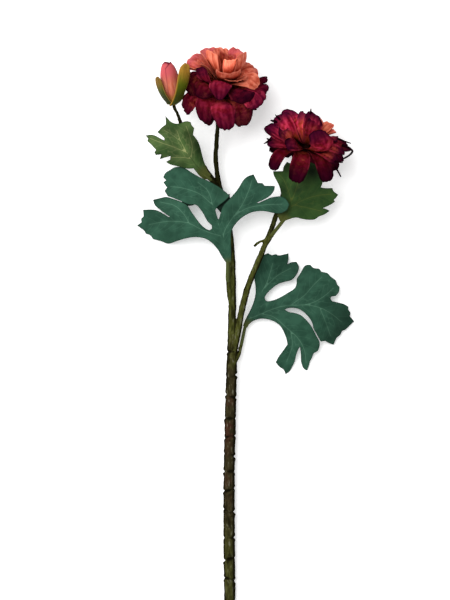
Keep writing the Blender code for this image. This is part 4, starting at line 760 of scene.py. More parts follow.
def join(name, things):
    """Joins some objects into one."""
    choose(things[0])
    for thing in things[1:]:
        thing.select_set(True)
    if len(things) > 1:
        bpy.ops.object.join()
    whole = bpy.context.view_layer.objects.active
    whole.name = name
    whole.data.name = name
    return whole


def give_materials(thing, *materials):
    thing.data.materials.clear()
    for made in materials:
        thing.data.materials.append(made)


def dress(thing, node):
    """Smooths a finished piece, hangs it under the root and hides the node of the part that it stands for."""
    choose(thing)
    bpy.ops.object.shade_smooth_by_angle(angle=math.radians(50))
    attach(thing, "root")
    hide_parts(node)
    deselect()


def sheet_line(rows):
    """Sheet rows of (x, y, height, radius) as model rows."""
    return [(*spot(x, y, h), r) for x, y, h, r in rows]


def frame_of(seat, axis):
    """(origin, right, front, axis): right leans along +X and front towards +Z, both square to the axis."""
    up = unit(axis)
    right = unit(np.array([1.0, 0.0, 0.0]) - up[0] * up)
    front = unit(np.array([0.0, 0.0, 1.0]) - up[2] * up)
    front = unit(front - (front @ right) * right)
    return spot(*seat), right, front, up


def ring_frames(middle):
    """Two directions square to a line of points, at each point."""
    along = np.gradient(middle, axis=0)
    along /= np.linalg.norm(along, axis=1)[:, None]
    across = np.cross(along, np.array([0.02, 0.01, 1.0]))
    across /= np.linalg.norm(across, axis=1)[:, None]
    return across, np.cross(across, along)


def tube_points(line, sides, swell=None):
    """Rings round (x, y, z, radius) rows, each end drawn in to a point. swell(rows, angles) scales the
    radius."""
    line = np.asarray(line, float)
    across, above = ring_frames(line[:, :3])
    angles = np.linspace(0, 2 * math.pi, sides + 1)
    reach = line[:, 3][:, None] * np.ones_like(angles)[None, :]
    if swell:
        reach = reach * swell(line, angles)
    rings = (
        line[:, None, :3]
        + (reach * np.cos(angles))[..., None] * across[:, None, :]
        + (reach * np.sin(angles))[..., None] * above[:, None, :]
    )
    ends = [np.repeat(line[i, None, :3], sides + 1, axis=0)[None] for i in (0, -1)]
    return np.concatenate([ends[0], rings, ends[1]])


def turned_points(place, profile, sides):
    """Rings about a bloom's axis from (radius, rise) rows, closed at both ends."""
    origin, right, front, up = place
    angles = np.linspace(0, 2 * math.pi, sides + 1)
    profile = [(0.0, profile[0][1]), *profile, (0.0, profile[-1][1])]
    rows = []
    for radius, rise in profile:
        ring = origin + up * rise + radius * (
            np.cos(angles)[:, None] * right + np.sin(angles)[:, None] * front
        )
        rows.append(ring)
    return np.array(rows)


def petal_spread(form, narrowing, run):
    """The share of its width that a petal has at each place of its run, from its claw to its tip."""
    opened = np.sin(np.clip(run / PETAL_WIDEST, 0, 1) * math.pi / 2) ** 1.5
    spread = form["claw"] + (1 - form["claw"]) * opened
    return spread - narrowing * (np.clip(run - PETAL_WIDEST, 0, 1) / (1 - PETAL_WIDEST)) ** 2


def petal_relief(form, run, half, u):
    """How far ruffles, roll and creases lift a petal's surface, and how raised each point is, near 0.5, which
    the cloth paints as highlight on ridges and shade in hollows.
    """
    wave = np.sin(RUFFLE_WAVES * 2 * math.pi * u + form["phase"]) * np.abs(u)
    fine = np.sin(form["fine_waves"] * math.pi * u + form["phase"] * 2 + run * 1.5) * run**2.5
    creases = np.sin(half * 1.6 + form["phase"]) * np.clip(run * 3, 0, 1) * (1 - 0.7 * run)
    lift = form["ruffle"] * run**2 * wave + half * form["roll"] * np.clip(run * 2.5, 0, 1)
    lift = lift + form["fine"] * fine + 0.05 * creases
    return lift, 0.5 + 0.22 * wave * run + 0.12 * fine + 0.05 * creases


def petal_points(place, petal, form, mesh_size, limit):
    """The middle surface of one petal from its claw to its tip, with what is stored at each of its points and
    its places on the cloth."""
    origin, right, front, up = place
    claw_rise, bend, tip, width, cup, turn, *taper = petal
    across, along = mesh_size
    bend, tip = np.asarray(bend, float), np.asarray(tip, float)
    outward = (bend + tip) / 2 - origin
    outward = unit(outward - (outward @ up) * up)
    root = origin + up * claw_rise + outward * ROOT_REACH
    u = np.sin(np.linspace(-0.5, 0.5, across + 1) * math.pi)[None, :, None]
    v = np.linspace(0, 1, along + 1)[:, None, None]
    nicks = form["nick"] * np.sin(form["nick_waves"] * math.pi * u + form["phase"] * 3)
    shoulder = (form["shoulder"] + PETAL_ROUNDING) * (1 - 0.9 * min(max(cup, 0.0) / FULL_CUP, 1.0))
    rounding = shoulder * np.abs(u) ** PETAL_SQUARENESS
    run = v * (1 - rounding * v**5 + nicks * v**4)
    middle = root * (1 - run) ** 2 + 2 * bend * run * (1 - run) + tip * run**2
    ahead = 2 * (bend - root) * (1 - run) + 2 * (tip - bend) * run
    ahead /= np.linalg.norm(ahead, axis=2)[:, :, None]
    sideways = np.broadcast_to(np.cross(up, outward), ahead.shape)
    sideways = sideways - (sideways * ahead).sum(2)[:, :, None] * ahead
    sideways /= np.linalg.norm(sideways, axis=2)[:, :, None]
    facing = np.cross(ahead, sideways)
    turn = math.radians(turn) * np.clip(run * 2, 0, 1) * (1 if np.cross(up, outward) @ front > 0 else -1)
    sideways, facing = (
        sideways * np.cos(turn) - facing * np.sin(turn),
        facing * np.cos(turn) + sideways * np.sin(turn),
    )
    spread = petal_spread(form, taper[0] if taper else form["narrowing"], run)
    half = width / 2 * spread * u
    curl = cup if abs(cup) > 1e-6 else 1e-6
    relief, fold = petal_relief(form, run, half, u)
    lift = (1 - np.cos(curl * half)) / curl + relief
    grid = middle + sideways * np.sin(curl * half) / curl + facing * lift - origin
    moved = limit(grid @ right, grid @ front, grid @ up)
    grid = origin + moved[0][..., None] * right + moved[1][..., None] * front + moved[2][..., None] * up
    length = np.linalg.norm(bend - root) + np.linalg.norm(tip - bend)
    rim = np.minimum(width / 2 * spread * (1 - np.abs(u)), length * (1 - v) + 0 * u)
    places = np.stack([half[..., 0] / 10, (run * length)[..., 0] / 10], axis=-1)
    share = np.broadcast_to(v ** (1 + form["deep"] * max(cup, 0.0)), run.shape)
    return grid, {"along": share, "rim": rim, "fold": fold}, places


def rest_on_table(grid, level):
    lowest = PETAL_REST + level * PETAL_LEVEL
    grid = grid.copy()
    grid[..., 2] = soft_max(grid[..., 2], lowest, TABLE_SOFTNESS)
    return grid


def whorl_petals(place, whorl):
    """The petals of a whorl, spread evenly between its first and last turn about the axis."""
    origin, right, front, up = place
    count, turns, claw_rise, bend, tip, width, cup = whorl
    found = []
    for turn in np.linspace(*turns, count):
        away = math.cos(math.radians(turn)) * right + math.sin(math.radians(turn)) * front
        points = (origin + away * reach + up * rise for reach, rise in (bend, tip))
        found.append((claw_rise, *points, width, cup, 0))
    return found


def placed(petal):
    """A petal with its sheet points as model points."""
    return (petal[0], spot(*petal[1]), spot(*petal[2]), *petal[3:])


def petal_sheet(name, shape, level, dye, shade, lot):
    """One petal as a thin mesh that knows its dye and where each point lies on it. One with a level rests on
    the table where it reaches it."""
    grid, fields, places = shape
    sheet = mesh_grid(name, rest_on_table(grid, level) if level is not None else grid)
    for key, values in fields.items():
        set_field(sheet.data, key, values)
    set_map(sheet.data, places.reshape(-1, 2))
    fill_fields(sheet.data, dye=dye, shade=shade, lot=lot)
    return sheet


def bloom_petals(name, place, form, kind, seed, limit):
    """Every outer or inner petal of a bloom."""
    draw = random.Random(seed)
    tint = random.Random(seed + 100)
    petals = [placed(petal) for petal in form[kind]]
    for whorl in form[kind + "_whorls"]:
        petals += whorl_petals(place, whorl)
    sheets = []
    for index, petal in enumerate(petals):
        shape = {
            **form,
            "roll": PETAL_ROLL,
            "phase": draw.uniform(0, 2 * math.pi),
            "fine": sizes().ruffle / MM * form["ripple"],
            "fine_waves": tint.uniform(3.0, 5.0),
            "nick": tint.uniform(0.002, 0.007),
            "nick_waves": tint.uniform(2.5, 5.0),
            "deep": 28.0 if kind == "inner" else 0.0,
        }
        seen = index < len(form[kind])
        dye = DYES[name][kind][index] if seen else tint.uniform(0.30, 0.45)
        # A petal's shade is partly painted light and shade; the hidden ones are painted darker.
        shade = SHADES[name][kind][index] if seen else tint.uniform(0.55, 0.85)
        points = petal_points(place, petal, shape, PETAL_MESH, limit)
        sheets.append(petal_sheet(f"{name}_{kind}_{index}", points, index % 2, dye, shade, tint.random()))
    whole = join(f"{name}_{kind}", sheets)
    thicken(whole, sizes().petal_thickness)
    return whole


def parting(form, to_right, to_front):
    """How high above the seat the outer petals end and the inner ones begin."""
    start, climb, lean, lean_left = form["parting"]
    away = np.hypot(to_right, to_front) - form["core"]
    ahead = soft_max(to_front - PARTING_FRONT, 0.0, PARTING_EASE)
    left = soft_max(-to_right - PARTING_LEFT, 0.0, PARTING_EASE)
    rise = start + climb * soft_max(away, 0.0, 1.0) + lean * ahead + lean_left * left
    for right, front, height, spread in form["swells"]:
        rise = rise + height * np.exp(-((to_right - right) ** 2 + (to_front - front) ** 2) / (2 * spread**2))
    return rise


def parting_gap(form, to_right, to_front):
    """Half the distance along the axis between outer and inner petals, wider where the parting is steep."""
    step = 0.5
    slope_right = parting(form, to_right + step, to_front) - parting(form, to_right - step, to_front)
    slope_front = parting(form, to_right, to_front + step) - parting(form, to_right, to_front - step)
    return PARTING_GAP * np.sqrt(1 + slope_right**2 + slope_front**2)


def feelers():
    """Directions spread over a half sphere about +Z, closer together near its top."""
    found = []
    for index in range(FEELERS):
        share = (index + 0.5) / FEELERS
        turn = index * math.pi * (3 - math.sqrt(5))
        flat = math.sqrt(share) * FEELER_LEAN
        found.append(Vector((flat * math.cos(turn), flat * math.sin(turn), math.sqrt(1 - flat * flat))))
    return found


def feel_depths(things):
    """Stores at each point how open the space over it is: 1 outside a bloom, 0 deep between its petals. The
    cloth paints the closed places darker, as shade.
    """
    points, faces = [], []
    for thing in things:
        first = len(points)
        points += [vertex.co.copy() for vertex in thing.data.vertices]
        faces += [[first + index for index in face.vertices] for face in thing.data.polygons]
    cloth = BVHTree.FromPolygons(points, faces)
    rays = feelers()
    for thing in things:
        openness = []
        for vertex in thing.data.vertices:
            turn = vertex.normal.to_track_quat("Z", "Y")
            start = vertex.co + vertex.normal * 0.0003
            seen = 0.0
            for ray in rays:
                gap = cloth.ray_cast(start, turn @ ray, FEELER_REACH * MM)[3]
                seen += 1.0 if gap is None else gap / (FEELER_REACH * MM)
            openness.append(seen / FEELERS)
        set_field(thing.data, "open", openness)


def hub(name, place, rows):
    """The small body that the claws of a bloom's petals grow from."""
    made = mesh_grid(name, turned_points(place, rows, 24), closed=True)
    fill_fields(made.data, along=0.0, rim=9.0, dye=0.3, shade=1.0, lot=0.5, fold=0.5)
    return made


def frayed_strips(name, strips, petals):
    """Thin strips of cloth that start on the petals below them, a little sunk in."""
    cloth = BVHTree.FromObject(petals, bpy.context.evaluated_depsgraph_get())
    down = Vector((0.0, 0.0, -1.0))
    made = []
    for index, strip in enumerate(strips):
        hits = [cloth.ray_cast(Vector(spot(x, y, 200.0) * MM), down)[0] for x, y, _ in strip]
        level = max(hit.z / MM for hit in hits if hit)
        rows = [(*spot(x, y, level - 0.3 - 0.6 * k), radius) for k, (x, y, radius) in enumerate(strip)]
        rows[0] = (*spot(*strip[0][:2], level - 2.5), strip[0][2])
        piece = mesh_grid(f"{name}_{index}", tube_points(smooth_line(rows, 0.8), 6), closed=True)
        fill_fields(piece.data, along=0.95, rim=0.2, dye=1.0, shade=0.5, lot=0.5, fold=0.5)
        made.append(piece)
    return made


def build_bloom(name, form, outer_material, inner_material):
    place = frame_of(form["seat"], form["axis"])
    core = form["core"]
    start = form["parting"][0]

    def below(to_right, to_front, rise):
        limit = parting(form, to_right, to_front) - parting_gap(form, to_right, to_front)
        return to_right, to_front, soft_min(rise, limit, 0.6)

    def above(to_right, to_front, rise):
        limit = parting(form, to_right, to_front) + parting_gap(form, to_right, to_front)
        return to_right, to_front, soft_max(rise, limit, 0.6)

    rows = [(0.8, CALYX_TOP), (1.0, CALYX_TOP + 2.0), (1.0, start - 4.0), (0.7, start - SEAT_GAP)]
    middle = hub(name + "_hub", place, [(core * share, rise) for share, rise in rows])
    petals = bloom_petals(name, place, form, "outer", form["seed"], below)
    strips = frayed_strips(name + "_strip", STRIPS[name], petals)
    outer = join(name + "_outer_cloth", [petals, middle, *strips])
    give_materials(outer, outer_material)
    rows = [(0.6, start), (0.62, start + 5.0), (0.4, start + 11.0)]
    middle = hub(name + "_heart", place, [(core * share, rise) for share, rise in rows])
    petals = bloom_petals(name, place, form, "inner", form["seed"] + 1, above)
    inner = join(name + "_inner_cloth", [petals, middle])
    give_materials(inner, inner_material)
    feel_depths([outer, inner])
    dress(outer, name + "_outer_petals")
    dress(inner, name + "_inner_petals")


def foot_rise():
    """The rise of a stem's end, just under the calyx."""
    return CALYX_TOP - CALYX_DEPTH - 2 * SEAT_GAP


def stem_into(form, rows):
    """A stem's own rows, carried on to the foot of its bloom, along the bloom's axis."""
    origin, _, _, up = frame_of(form["seat"], form["axis"])
    ends = [(*(origin + up * (foot_rise() - drop)), NECK_RADIUS) for drop in (9.0, 4.0, 0.0)]
    return sheet_line(rows) + ends


def knotted(line, angles):
    """The main stem's swell: a notch with an uneven lip at each joint, and shallow flutes."""
    swell = np.ones((len(line), len(angles)))
    for index, knot in enumerate(KNOTS):
        tilt = 1.6 * np.sin(angles + index * 2.1) + 0.8 * np.sin(2 * angles + index)
        gap = (line[:, 1][:, None] - (SHEET_MIDDLE[1] - knot) - tilt[None, :]) / KNOT_REACH
        depth = 0.5 + 0.5 * np.sin(angles + index * 1.7)[None, :]
        swell -= (NOTCH_LEAST + NOTCH_MORE * depth) * np.exp(-9 * gap**2)
        swell += LIP_BELOW * depth * np.exp(-5 * (gap + 0.8) ** 2)
        swell += LIP_ABOVE * np.exp(-7 * (gap - 0.9) ** 2)
    flutes = FLUTE_DEPTH * np.sin(3 * angles + 1.0)[None, :] * np.sin(line[:, 1] / 23.0)[:, None]
    return swell + flutes


def distance_to(points, lines):
    """The distance of each point from the nearest of some lines, in two or three dimensions."""
    nearest = np.full(len(points), 1e9)
    for line in lines:
        line = np.array(line, float)
        for a, b in zip(line, line[1:]):
            t = np.clip(((points - a) @ (b - a)) / ((b - a) @ (b - a)), 0, 1)
            gap = np.linalg.norm(points - a - t[:, None] * (b - a), axis=1)
            nearest = np.minimum(nearest, gap)
    return nearest


def flank_of(points, lines):
    """How far across the nearest branch each point lies as seen from above, from -1 at its left side through
    0 on its middle to 1 at its right side."""
    nearest = np.full(len(points), 9.0)
    for line in lines:
        for a, b in zip(line, line[1:]):
            ahead = (b - a)[:2]
            t = np.clip(((points[:, :2] - a[:2]) @ ahead) / (ahead @ ahead + 1e-9), 0, 1)
            away = points[:, :2] - a[:2] - t[:, None] * ahead
            share = np.linalg.norm(away, axis=1) / (a[3] + t * (b[3] - a[3])) * np.sign(away[:, 0])
            nearest = np.where(np.abs(share) < np.abs(nearest), share, nearest)
    return np.clip(nearest, -1.2, 1.2)


def roughen(thing, depth, scale):
    """Moves each point of a mesh a little along its normal, as moulded bark stands in and out."""
    mesh = thing.data
    places, normals = read_points(mesh), read_points(mesh, "normal")
    moves = np.empty(len(places))
    for i, (x, y, z) in enumerate(places):
        moves[i] = noise.fractal(Vector((x * scale, y * scale * 0.5, z * scale)), 0.8, 2.0, 3)
    places = places + normals * (moves * depth)[:, None]
    places[:, 2] = np.maximum(places[:, 2], 0.00005)
    mesh.vertices.foreach_set("co", places.astype(np.float32).ravel())
    mesh.update()


def stem_lines():
    """The middle lines of the main and side branches, the bud's stalk, the twig and the leaves' stubs."""
    main = smooth_line(stem_into(BLOOMS["large_bloom"], MAIN_STEM), 1.0)
    side = smooth_line(stem_into(BLOOMS["small_bloom"], SIDE_STEM), 2.0)
    origin, _, _, up = frame_of(BUD_SEAT, BUD_AXIS)
    bud_foot = [(*(origin - up * drop), 1.6) for drop in (BUD_CUP_DEPTH + 2.5, BUD_CUP_DEPTH + SEAT_GAP)]
    bud = smooth_line(sheet_line(BUD_STEM) + bud_foot, 2.0)
    twig = smooth_line(sheet_line(TWIG), 1.5)
    return main, side, bud, twig, [smooth_line(sheet_line(rows), 2.0) for rows in LEAF_STUBS.values()]


def passed(down, place, towards_foot=False):
    """How far each point is past a (y, fade) place on the stem, from 0 there to 1 where the fade ends."""
    beyond = down - place[0] if towards_foot else place[0] - down
    return np.clip(beyond / place[1], 0, 1)


def mark_bark(mesh, main, side, bud, twig, stubs):
    """Stores how young and worn the bark is at each point, how far up it is darker, how far across its branch
    the point lies for the painted shade on its sides, and how near it is to a joint."""
    places = read_points(mesh).astype(float) / MM
    down = SHEET_MIDDLE[1] - places[:, 1]
    to_main = distance_to(places, [main[::12, :3]])
    to_side = distance_to(places, [side[::6, :3], bud[::4, :3]] + [line[:, :3] for line in stubs])
    young = np.maximum(np.clip((to_main - to_side + 4.0) / 6.0, 0, 1), passed(down, YOUNG_ABOVE))
    young = np.maximum(young, 0.6 * passed(down, YOUNG_BELOW, towards_foot=True))
    flank = flank_of(places, [main[::6], side[::4], bud[::3], twig, *stubs])
    across = places[:, 0] - np.interp(places[:, 1], main[:, 1], main[:, 0])
    joint = np.full(len(places), 9.0)
    for index, knot in enumerate(KNOTS):
        partly = 1.0 + 1.3 * np.sin(2.2 * flank + index * 1.7)
        joint = np.minimum(joint, np.abs(down - knot + 0.28 * np.sin(index * 2.1) * across) + partly)
    set_field(mesh, "young", young)
    set_field(mesh, "flank", flank)
    set_field(mesh, "worn", sum(k * np.exp(-(((down - y) / spread) ** 2)) for y, spread, k in WORN_PATCHES))
    set_field(mesh, "darker_above", passed(down, DARKER_ABOVE))
    set_field(mesh, "joint", joint + np.clip(to_main - 6.5, 0, 3))


def build_stem(made):
    lines = stem_lines()
    main, side, bud, twig, stubs = lines
    pieces = [mesh_grid("stem_main", tube_points(main, 32, knotted), closed=True)]
    for index, line in enumerate([side, bud, twig, *stubs]):
        pieces.append(mesh_grid(f"stem_branch_{index}", tube_points(line, 20), closed=True))
    whole = join("stem_bark", pieces)
    finish_modifier(whole, "REMESH", mode="VOXEL", voxel_size=sizes().stem_step)
    finish_modifier(whole, "SMOOTH", factor=0.5, iterations=2)
    roughen(whole, sizes().bark_depth, 300.0)
    mark_bark(whole.data, *lines)
    give_materials(whole, made)
    dress(whole, "stem")


def plate(controls):
    """A thin-plate surface through (x, y, height) points of the sheet, as a function of sheet points."""
    known = np.array(controls, float)
    count = len(known)

    def bend(a, b):
        gap = ((a[:, None, :] - b[None, :, :]) ** 2).sum(2)
        return gap * np.log(gap + 1e-9)

    base = np.hstack([np.ones((count, 1)), known[:, :2]])
    system = np.zeros((count + 3, count + 3))
    system[:count, :count] = bend(known[:, :2], known[:, :2]) + PLATE_EASE * np.eye(count)
    system[:count, count:] = base
    system[count:, :count] = base.T
    weights = np.linalg.solve(system, np.concatenate([known[:, 2], np.zeros(3)]))

    def height(points):
        flat = np.hstack([np.ones((len(points), 1)), points])
        return bend(points, known[:, :2]) @ weights[:count] + flat @ weights[count:]

    return height


def grown(outline, amount):
    """The outline with each corner moved outwards."""
    points = np.array(outline, float)
    ahead = np.roll(points, -1, axis=0) - points
    ahead /= np.linalg.norm(ahead, axis=1)[:, None]
    side = np.stack([ahead[:, 1], -ahead[:, 0]], axis=1)
    corner = side + np.roll(side, 1, axis=0)
    corner /= np.maximum(np.linalg.norm(corner, axis=1)[:, None], 0.9)
    return points + amount * corner


def cut_edge(outline, step, sharp=38.0):
    """The outline as a smooth cut that keeps its sharp corners."""
    count = len(outline)
    ahead = np.roll(outline, -1, axis=0) - outline
    angles = np.degrees(np.arctan2(ahead[:, 1], ahead[:, 0]))
    bends = np.abs((angles - np.roll(angles, 1) + 180) % 360 - 180)
    found = []
    for i in range(count):
        a, b, c, d = (outline[(i + k) % count] for k in (-1, 0, 1, 2))
        if bends[i] > sharp:
            a = 2 * b - c
        if bends[(i + 1) % count] > sharp:
            d = 2 * c - b
        found += curve_piece((a, b, c, d), step)
    return np.array(found)


def inside(points, outline):
    """Whether each sheet point is inside a closed outline."""
    odd = np.zeros(len(points), bool)
    for (ax, ay), (bx, by) in zip(outline, np.roll(outline, -1, axis=0)):
        if ay == by:
            continue
        crosses = (ay > points[:, 1]) != (by > points[:, 1])
        odd ^= crosses & (points[:, 0] < ax + (points[:, 1] - ay) / (by - ay) * (bx - ax))
    return odd


def flat_line(points, step):
    """A smooth line through (x, y) points of the sheet."""
    return smooth_line([(x, y, 0.0) for x, y in points], step)[:, :2]


def side_veins(veins, draw):
    """Fine veins that leave each main vein to its left and right, and bend towards the tip."""
    found = []
    for vein in veins:
        line = flat_line(vein, 1.0)
        place, side = draw.uniform(*FINE_VEIN_START), 1
        while place < len(line) - 3:
            i = int(place)
            ahead = unit(line[min(i + 2, len(line) - 1)] - line[i - 1])
            away = np.array([-ahead[1], ahead[0]]) * side
            reach = draw.uniform(*FINE_VEIN_LENGTH)
            shares = np.array([0.0, 0.4, 0.7, 1.0])[:, None]
            bent = away * 0.72 * shares + ahead * (0.62 * shares + 0.25 * shares**2)
            found.append(line[i] + bent * reach)
            place += draw.uniform(*FINE_VEIN_SPACING)
            side = -side
    return found


def blade_dots(outline, edge, veins, fine):
    """The sheet points that a blade is made from: its outline, then dots on its veins and evenly between."""
    step = sizes().leaf_step / MM
    low, high = outline.min(0), outline.max(0)
    across, down = np.meshgrid(np.arange(low[0], high[0], step), np.arange(low[1], high[1], step * 0.866))
    across = across + (np.arange(len(across)) % 2)[:, None] * step / 2
    even = np.stack([across.ravel(), down.ravel()], axis=1)
    even = even[(distance_to(even, veins) > 0.8) & (distance_to(even, fine) > 0.7)]
    fine_dots = np.vstack([flat_line(line, 1.2) for line in fine])
    fine_dots = fine_dots[distance_to(fine_dots, veins) > 0.9]
    dots = np.vstack([*veins, fine_dots, even])
    dots = dots[inside(dots, outline)]
    dots = dots[distance_to(dots, edge) > 0.7]
    return np.vstack([outline, dots])


def blade_heights(form, flat, to_crease, to_fine):
    """How high a blade lies at its points: hung through its heights, sunk along its veins and puckered."""
    to_vein = distance_to(flat, form["veins"])
    heights = plate(form["heights"])(flat) - VEIN_SINK * np.exp(-((to_vein / VEIN_SPREAD) ** 2))
    main_sink = CREASE_SINK * np.exp(-((to_crease / CREASE_WIDTH) ** 2))
    heights -= main_sink + FINE_VEIN_SINK * np.exp(-((to_fine / FINE_VEIN_WIDTH) ** 2))
    waves = [noise.noise(Vector((x * 0.11, y * 0.11, 3.0))) for x, y in flat]
    heights += PUCKER * np.array(waves) * np.clip(to_vein / 6.0, 0.2, 1.0)
    return np.maximum(heights, LOWEST_BLADE)


def leaf_sheet(name, form):
    """A leaf's blade, cut along its outline, with its heights and the sheet points that they belong to."""
    draw = random.Random(len(form["outline"]))
    outline = cut_edge(grown(form["outline"], LEAF_GROWTH), 1.3)
    veins = [flat_line(vein, 1.1) for vein in form["veins"]]
    fine = side_veins(form["veins"], draw)
    edge = [np.vstack([outline, outline[:1]])]
    dots = [Vector(dot) for dot in blade_dots(outline, edge, veins, fine)]
    found, _, faces, _, _, _ = delaunay_2d_cdt(dots, [], [list(range(len(outline)))], 1, 1e-4)
    flat = np.array([tuple(dot) for dot in found])
    to_crease = distance_to(flat, veins)
    to_fine = distance_to(flat, fine)
    heights = blade_heights(form, flat, to_crease, to_fine)
    solid = [spot(x, y, h) * MM for (x, y), h in zip(flat, heights)]
    mesh = bpy.data.meshes.new(name)
    mesh.from_pydata([tuple(p) for p in solid], [], [tuple(reversed(f)) for f in faces])
    blade = bpy.data.objects.new(name, mesh)
    bpy.context.scene.collection.objects.link(blade)
    set_map(mesh, (flat - flat[0]) / 10)
    set_field(mesh, "vein", to_crease)
    set_field(mesh, "fine_vein", to_fine)
    set_field(mesh, "rim", distance_to(flat, edge))
    set_field(mesh, "along", np.linalg.norm(flat - np.array(form["veins"][0][0]), axis=1) / 100)
    # Painted shade in the leaf's folds and shadowed parts, and lighter patches, as a change of its shade.
    shading = np.ones(len(flat))
    for x, y, spread, change in LEAF_SPOTS[name.removesuffix("_blade")]:
        shading += change * np.exp(-((flat[:, 0] - x) ** 2 + (flat[:, 1] - y) ** 2) / (2 * spread**2))
    set_field(mesh, "shade", np.clip(shading, 0.08, 1.6))
    thicken(blade, sizes().leaf_thickness)
    return blade, heights, flat


def leaf_folds(name, folds):
    """Folds of a blade in shade, each a sheet that bends a little between two edges and is painted dark."""
    made = []
    for index, (one, other, height) in enumerate(folds):
        sides = [smooth_line([(*spot(x, y, height), 0.0) for x, y in side], 1.0) for side in (one, other)]
        rows = np.linspace(0, 1, 14)
        share = np.linspace(0, 1, 10)[None, :, None]
        ends = [
            np.stack([np.interp(rows, np.linspace(0, 1, len(line)), line[:, c]) for c in range(3)], axis=1)
            for line in sides
        ]
        grid = ends[0][:, None, :] * (1 - share) + ends[1][:, None, :] * share
        grid[..., 2] += 1.2 * np.sin(math.pi * share[..., 0]) + 0.2 * np.sin(5.0 * grid[..., 1])
        sheet = mesh_grid(f"{name}_{index}", grid)
        set_map(sheet.data, grid[..., :2].reshape(-1, 2) / 10)
        # Painted dark, as the shade that these folds lie in.
        fill_fields(sheet.data, vein=9.0, fine_vein=9.0, rim=9.0, along=1.0, shade=0.22)
        thicken(sheet, sizes().leaf_thickness)
        made.append(sheet)
    return made


def leaf_rib(name, form, stub, heights, flat):
    """The leaf's stalk, from the stub to the blade, and on under it as the midrib."""
    vein = np.array(form["veins"][0], float)
    share = max(3, round(len(vein) * RIB_SHARE))
    foot = np.array(sheet_line(stub[-2:]))
    away = unit(foot[1, :3] - foot[0, :3])
    start = foot[1, :3] - away * 0.5
    rows = [(*start, form["stalk"]), (*(start + away * 4.3), form["stalk"])]
    for i, (x, y) in enumerate(vein[1:share]):
        radius = form["stalk"] * (1 - 0.75 * (i + 0.6) / share)
        near = np.argmin(((flat - (x, y)) ** 2).sum(1))
        rows.append((*spot(x, y, heights[near] - radius * 0.62), radius))
    line = smooth_line(rows, 1.6)
    rib = mesh_grid(name, tube_points(line, 14), closed=True)
    fill_fields(rib.data, vein=0.9, fine_vein=4.0, rim=9.0, shade=1.0)
    bare = np.linalg.norm(spot(*vein[0], 0.0)[:2] - start[:2])
    reach = [np.linalg.norm(np.array(v.co[:2]) / MM - start[:2]) - bare for v in rib.data.vertices]
    set_field(rib.data, "along", np.maximum(reach, 0.0) / 100)
    return rib


def build_leaf(name, form, made, shade):
    blade, heights, flat = leaf_sheet(name + "_blade", form)
    rib = leaf_rib(name + "_rib", form, LEAF_STUBS[name], heights, flat)
    folds = leaf_folds(name + "_fold", LEAF_FOLDS.get(name, []))
    whole = join(name + "_cloth", [blade, rib, *folds])
    shading = np.empty(len(whole.data.vertices), np.float32)
    whole.data.attributes["shade"].data.foreach_get("value", shading)
    set_field(whole.data, "shade", shading * shade)
    give_materials(whole, made)
    dress(whole, name)


def bud_radius(rise):
    """The closed bud's radius at a rise above its seat."""
    share = np.clip(np.asarray(rise, float) / BUD_LENGTH, 0.0, 1.0)
    swell = 0.52 + 0.48 * np.sin(np.clip(share / 0.36, 0, 1) * math.pi / 2)
    return BUD_RADIUS * swell * np.sqrt(np.clip(1 - (np.clip(share - 0.30, 0, 1) / 0.74) ** 2.2, 0.02, 1))


def rolled_points(place, turn, mesh_size):
    """One of the bud's petals, rolled round it from an inner edge to an outer one."""
    origin, right, front, up = place
    across, along = mesh_size
    u = np.linspace(0, 1, across + 1)[None, :]
    v = np.linspace(0, 1, along + 1)[:, None]
    angle = math.radians(turn) + math.radians(BUD_WRAP) * u
    nicks = 0.012 * np.sin(9 * u + turn)
    rise = SEAT_GAP + (BUD_LENGTH - SEAT_GAP) * (1 - 0.16 * (2 * u - 1) ** 2 * v**3 + nicks * v**4) * v
    crease = 0.012 * np.sin(16 * u + 3 * v + turn)
    radius = bud_radius(rise) * (0.84 + 0.16 * u + crease * v * (1 - v) * 3)
    grid = (
        origin
        + (radius * np.cos(angle))[..., None] * right
        + (radius * np.sin(angle))[..., None] * front
        + rise[..., None] * up
    )
    width = BUD_RADIUS * math.radians(BUD_WRAP)
    rim = np.minimum(np.minimum(u, 1 - u) * width, (1 - v) * BUD_LENGTH + 0 * u)
    places = np.stack([u * width / 10 + 0 * v, v * BUD_LENGTH / 10 + 0 * u], axis=-1)
    fields = {"along": v + 0 * u, "rim": rim, "fold": 0.5 + 20 * crease * v}
    return grid, fields, places


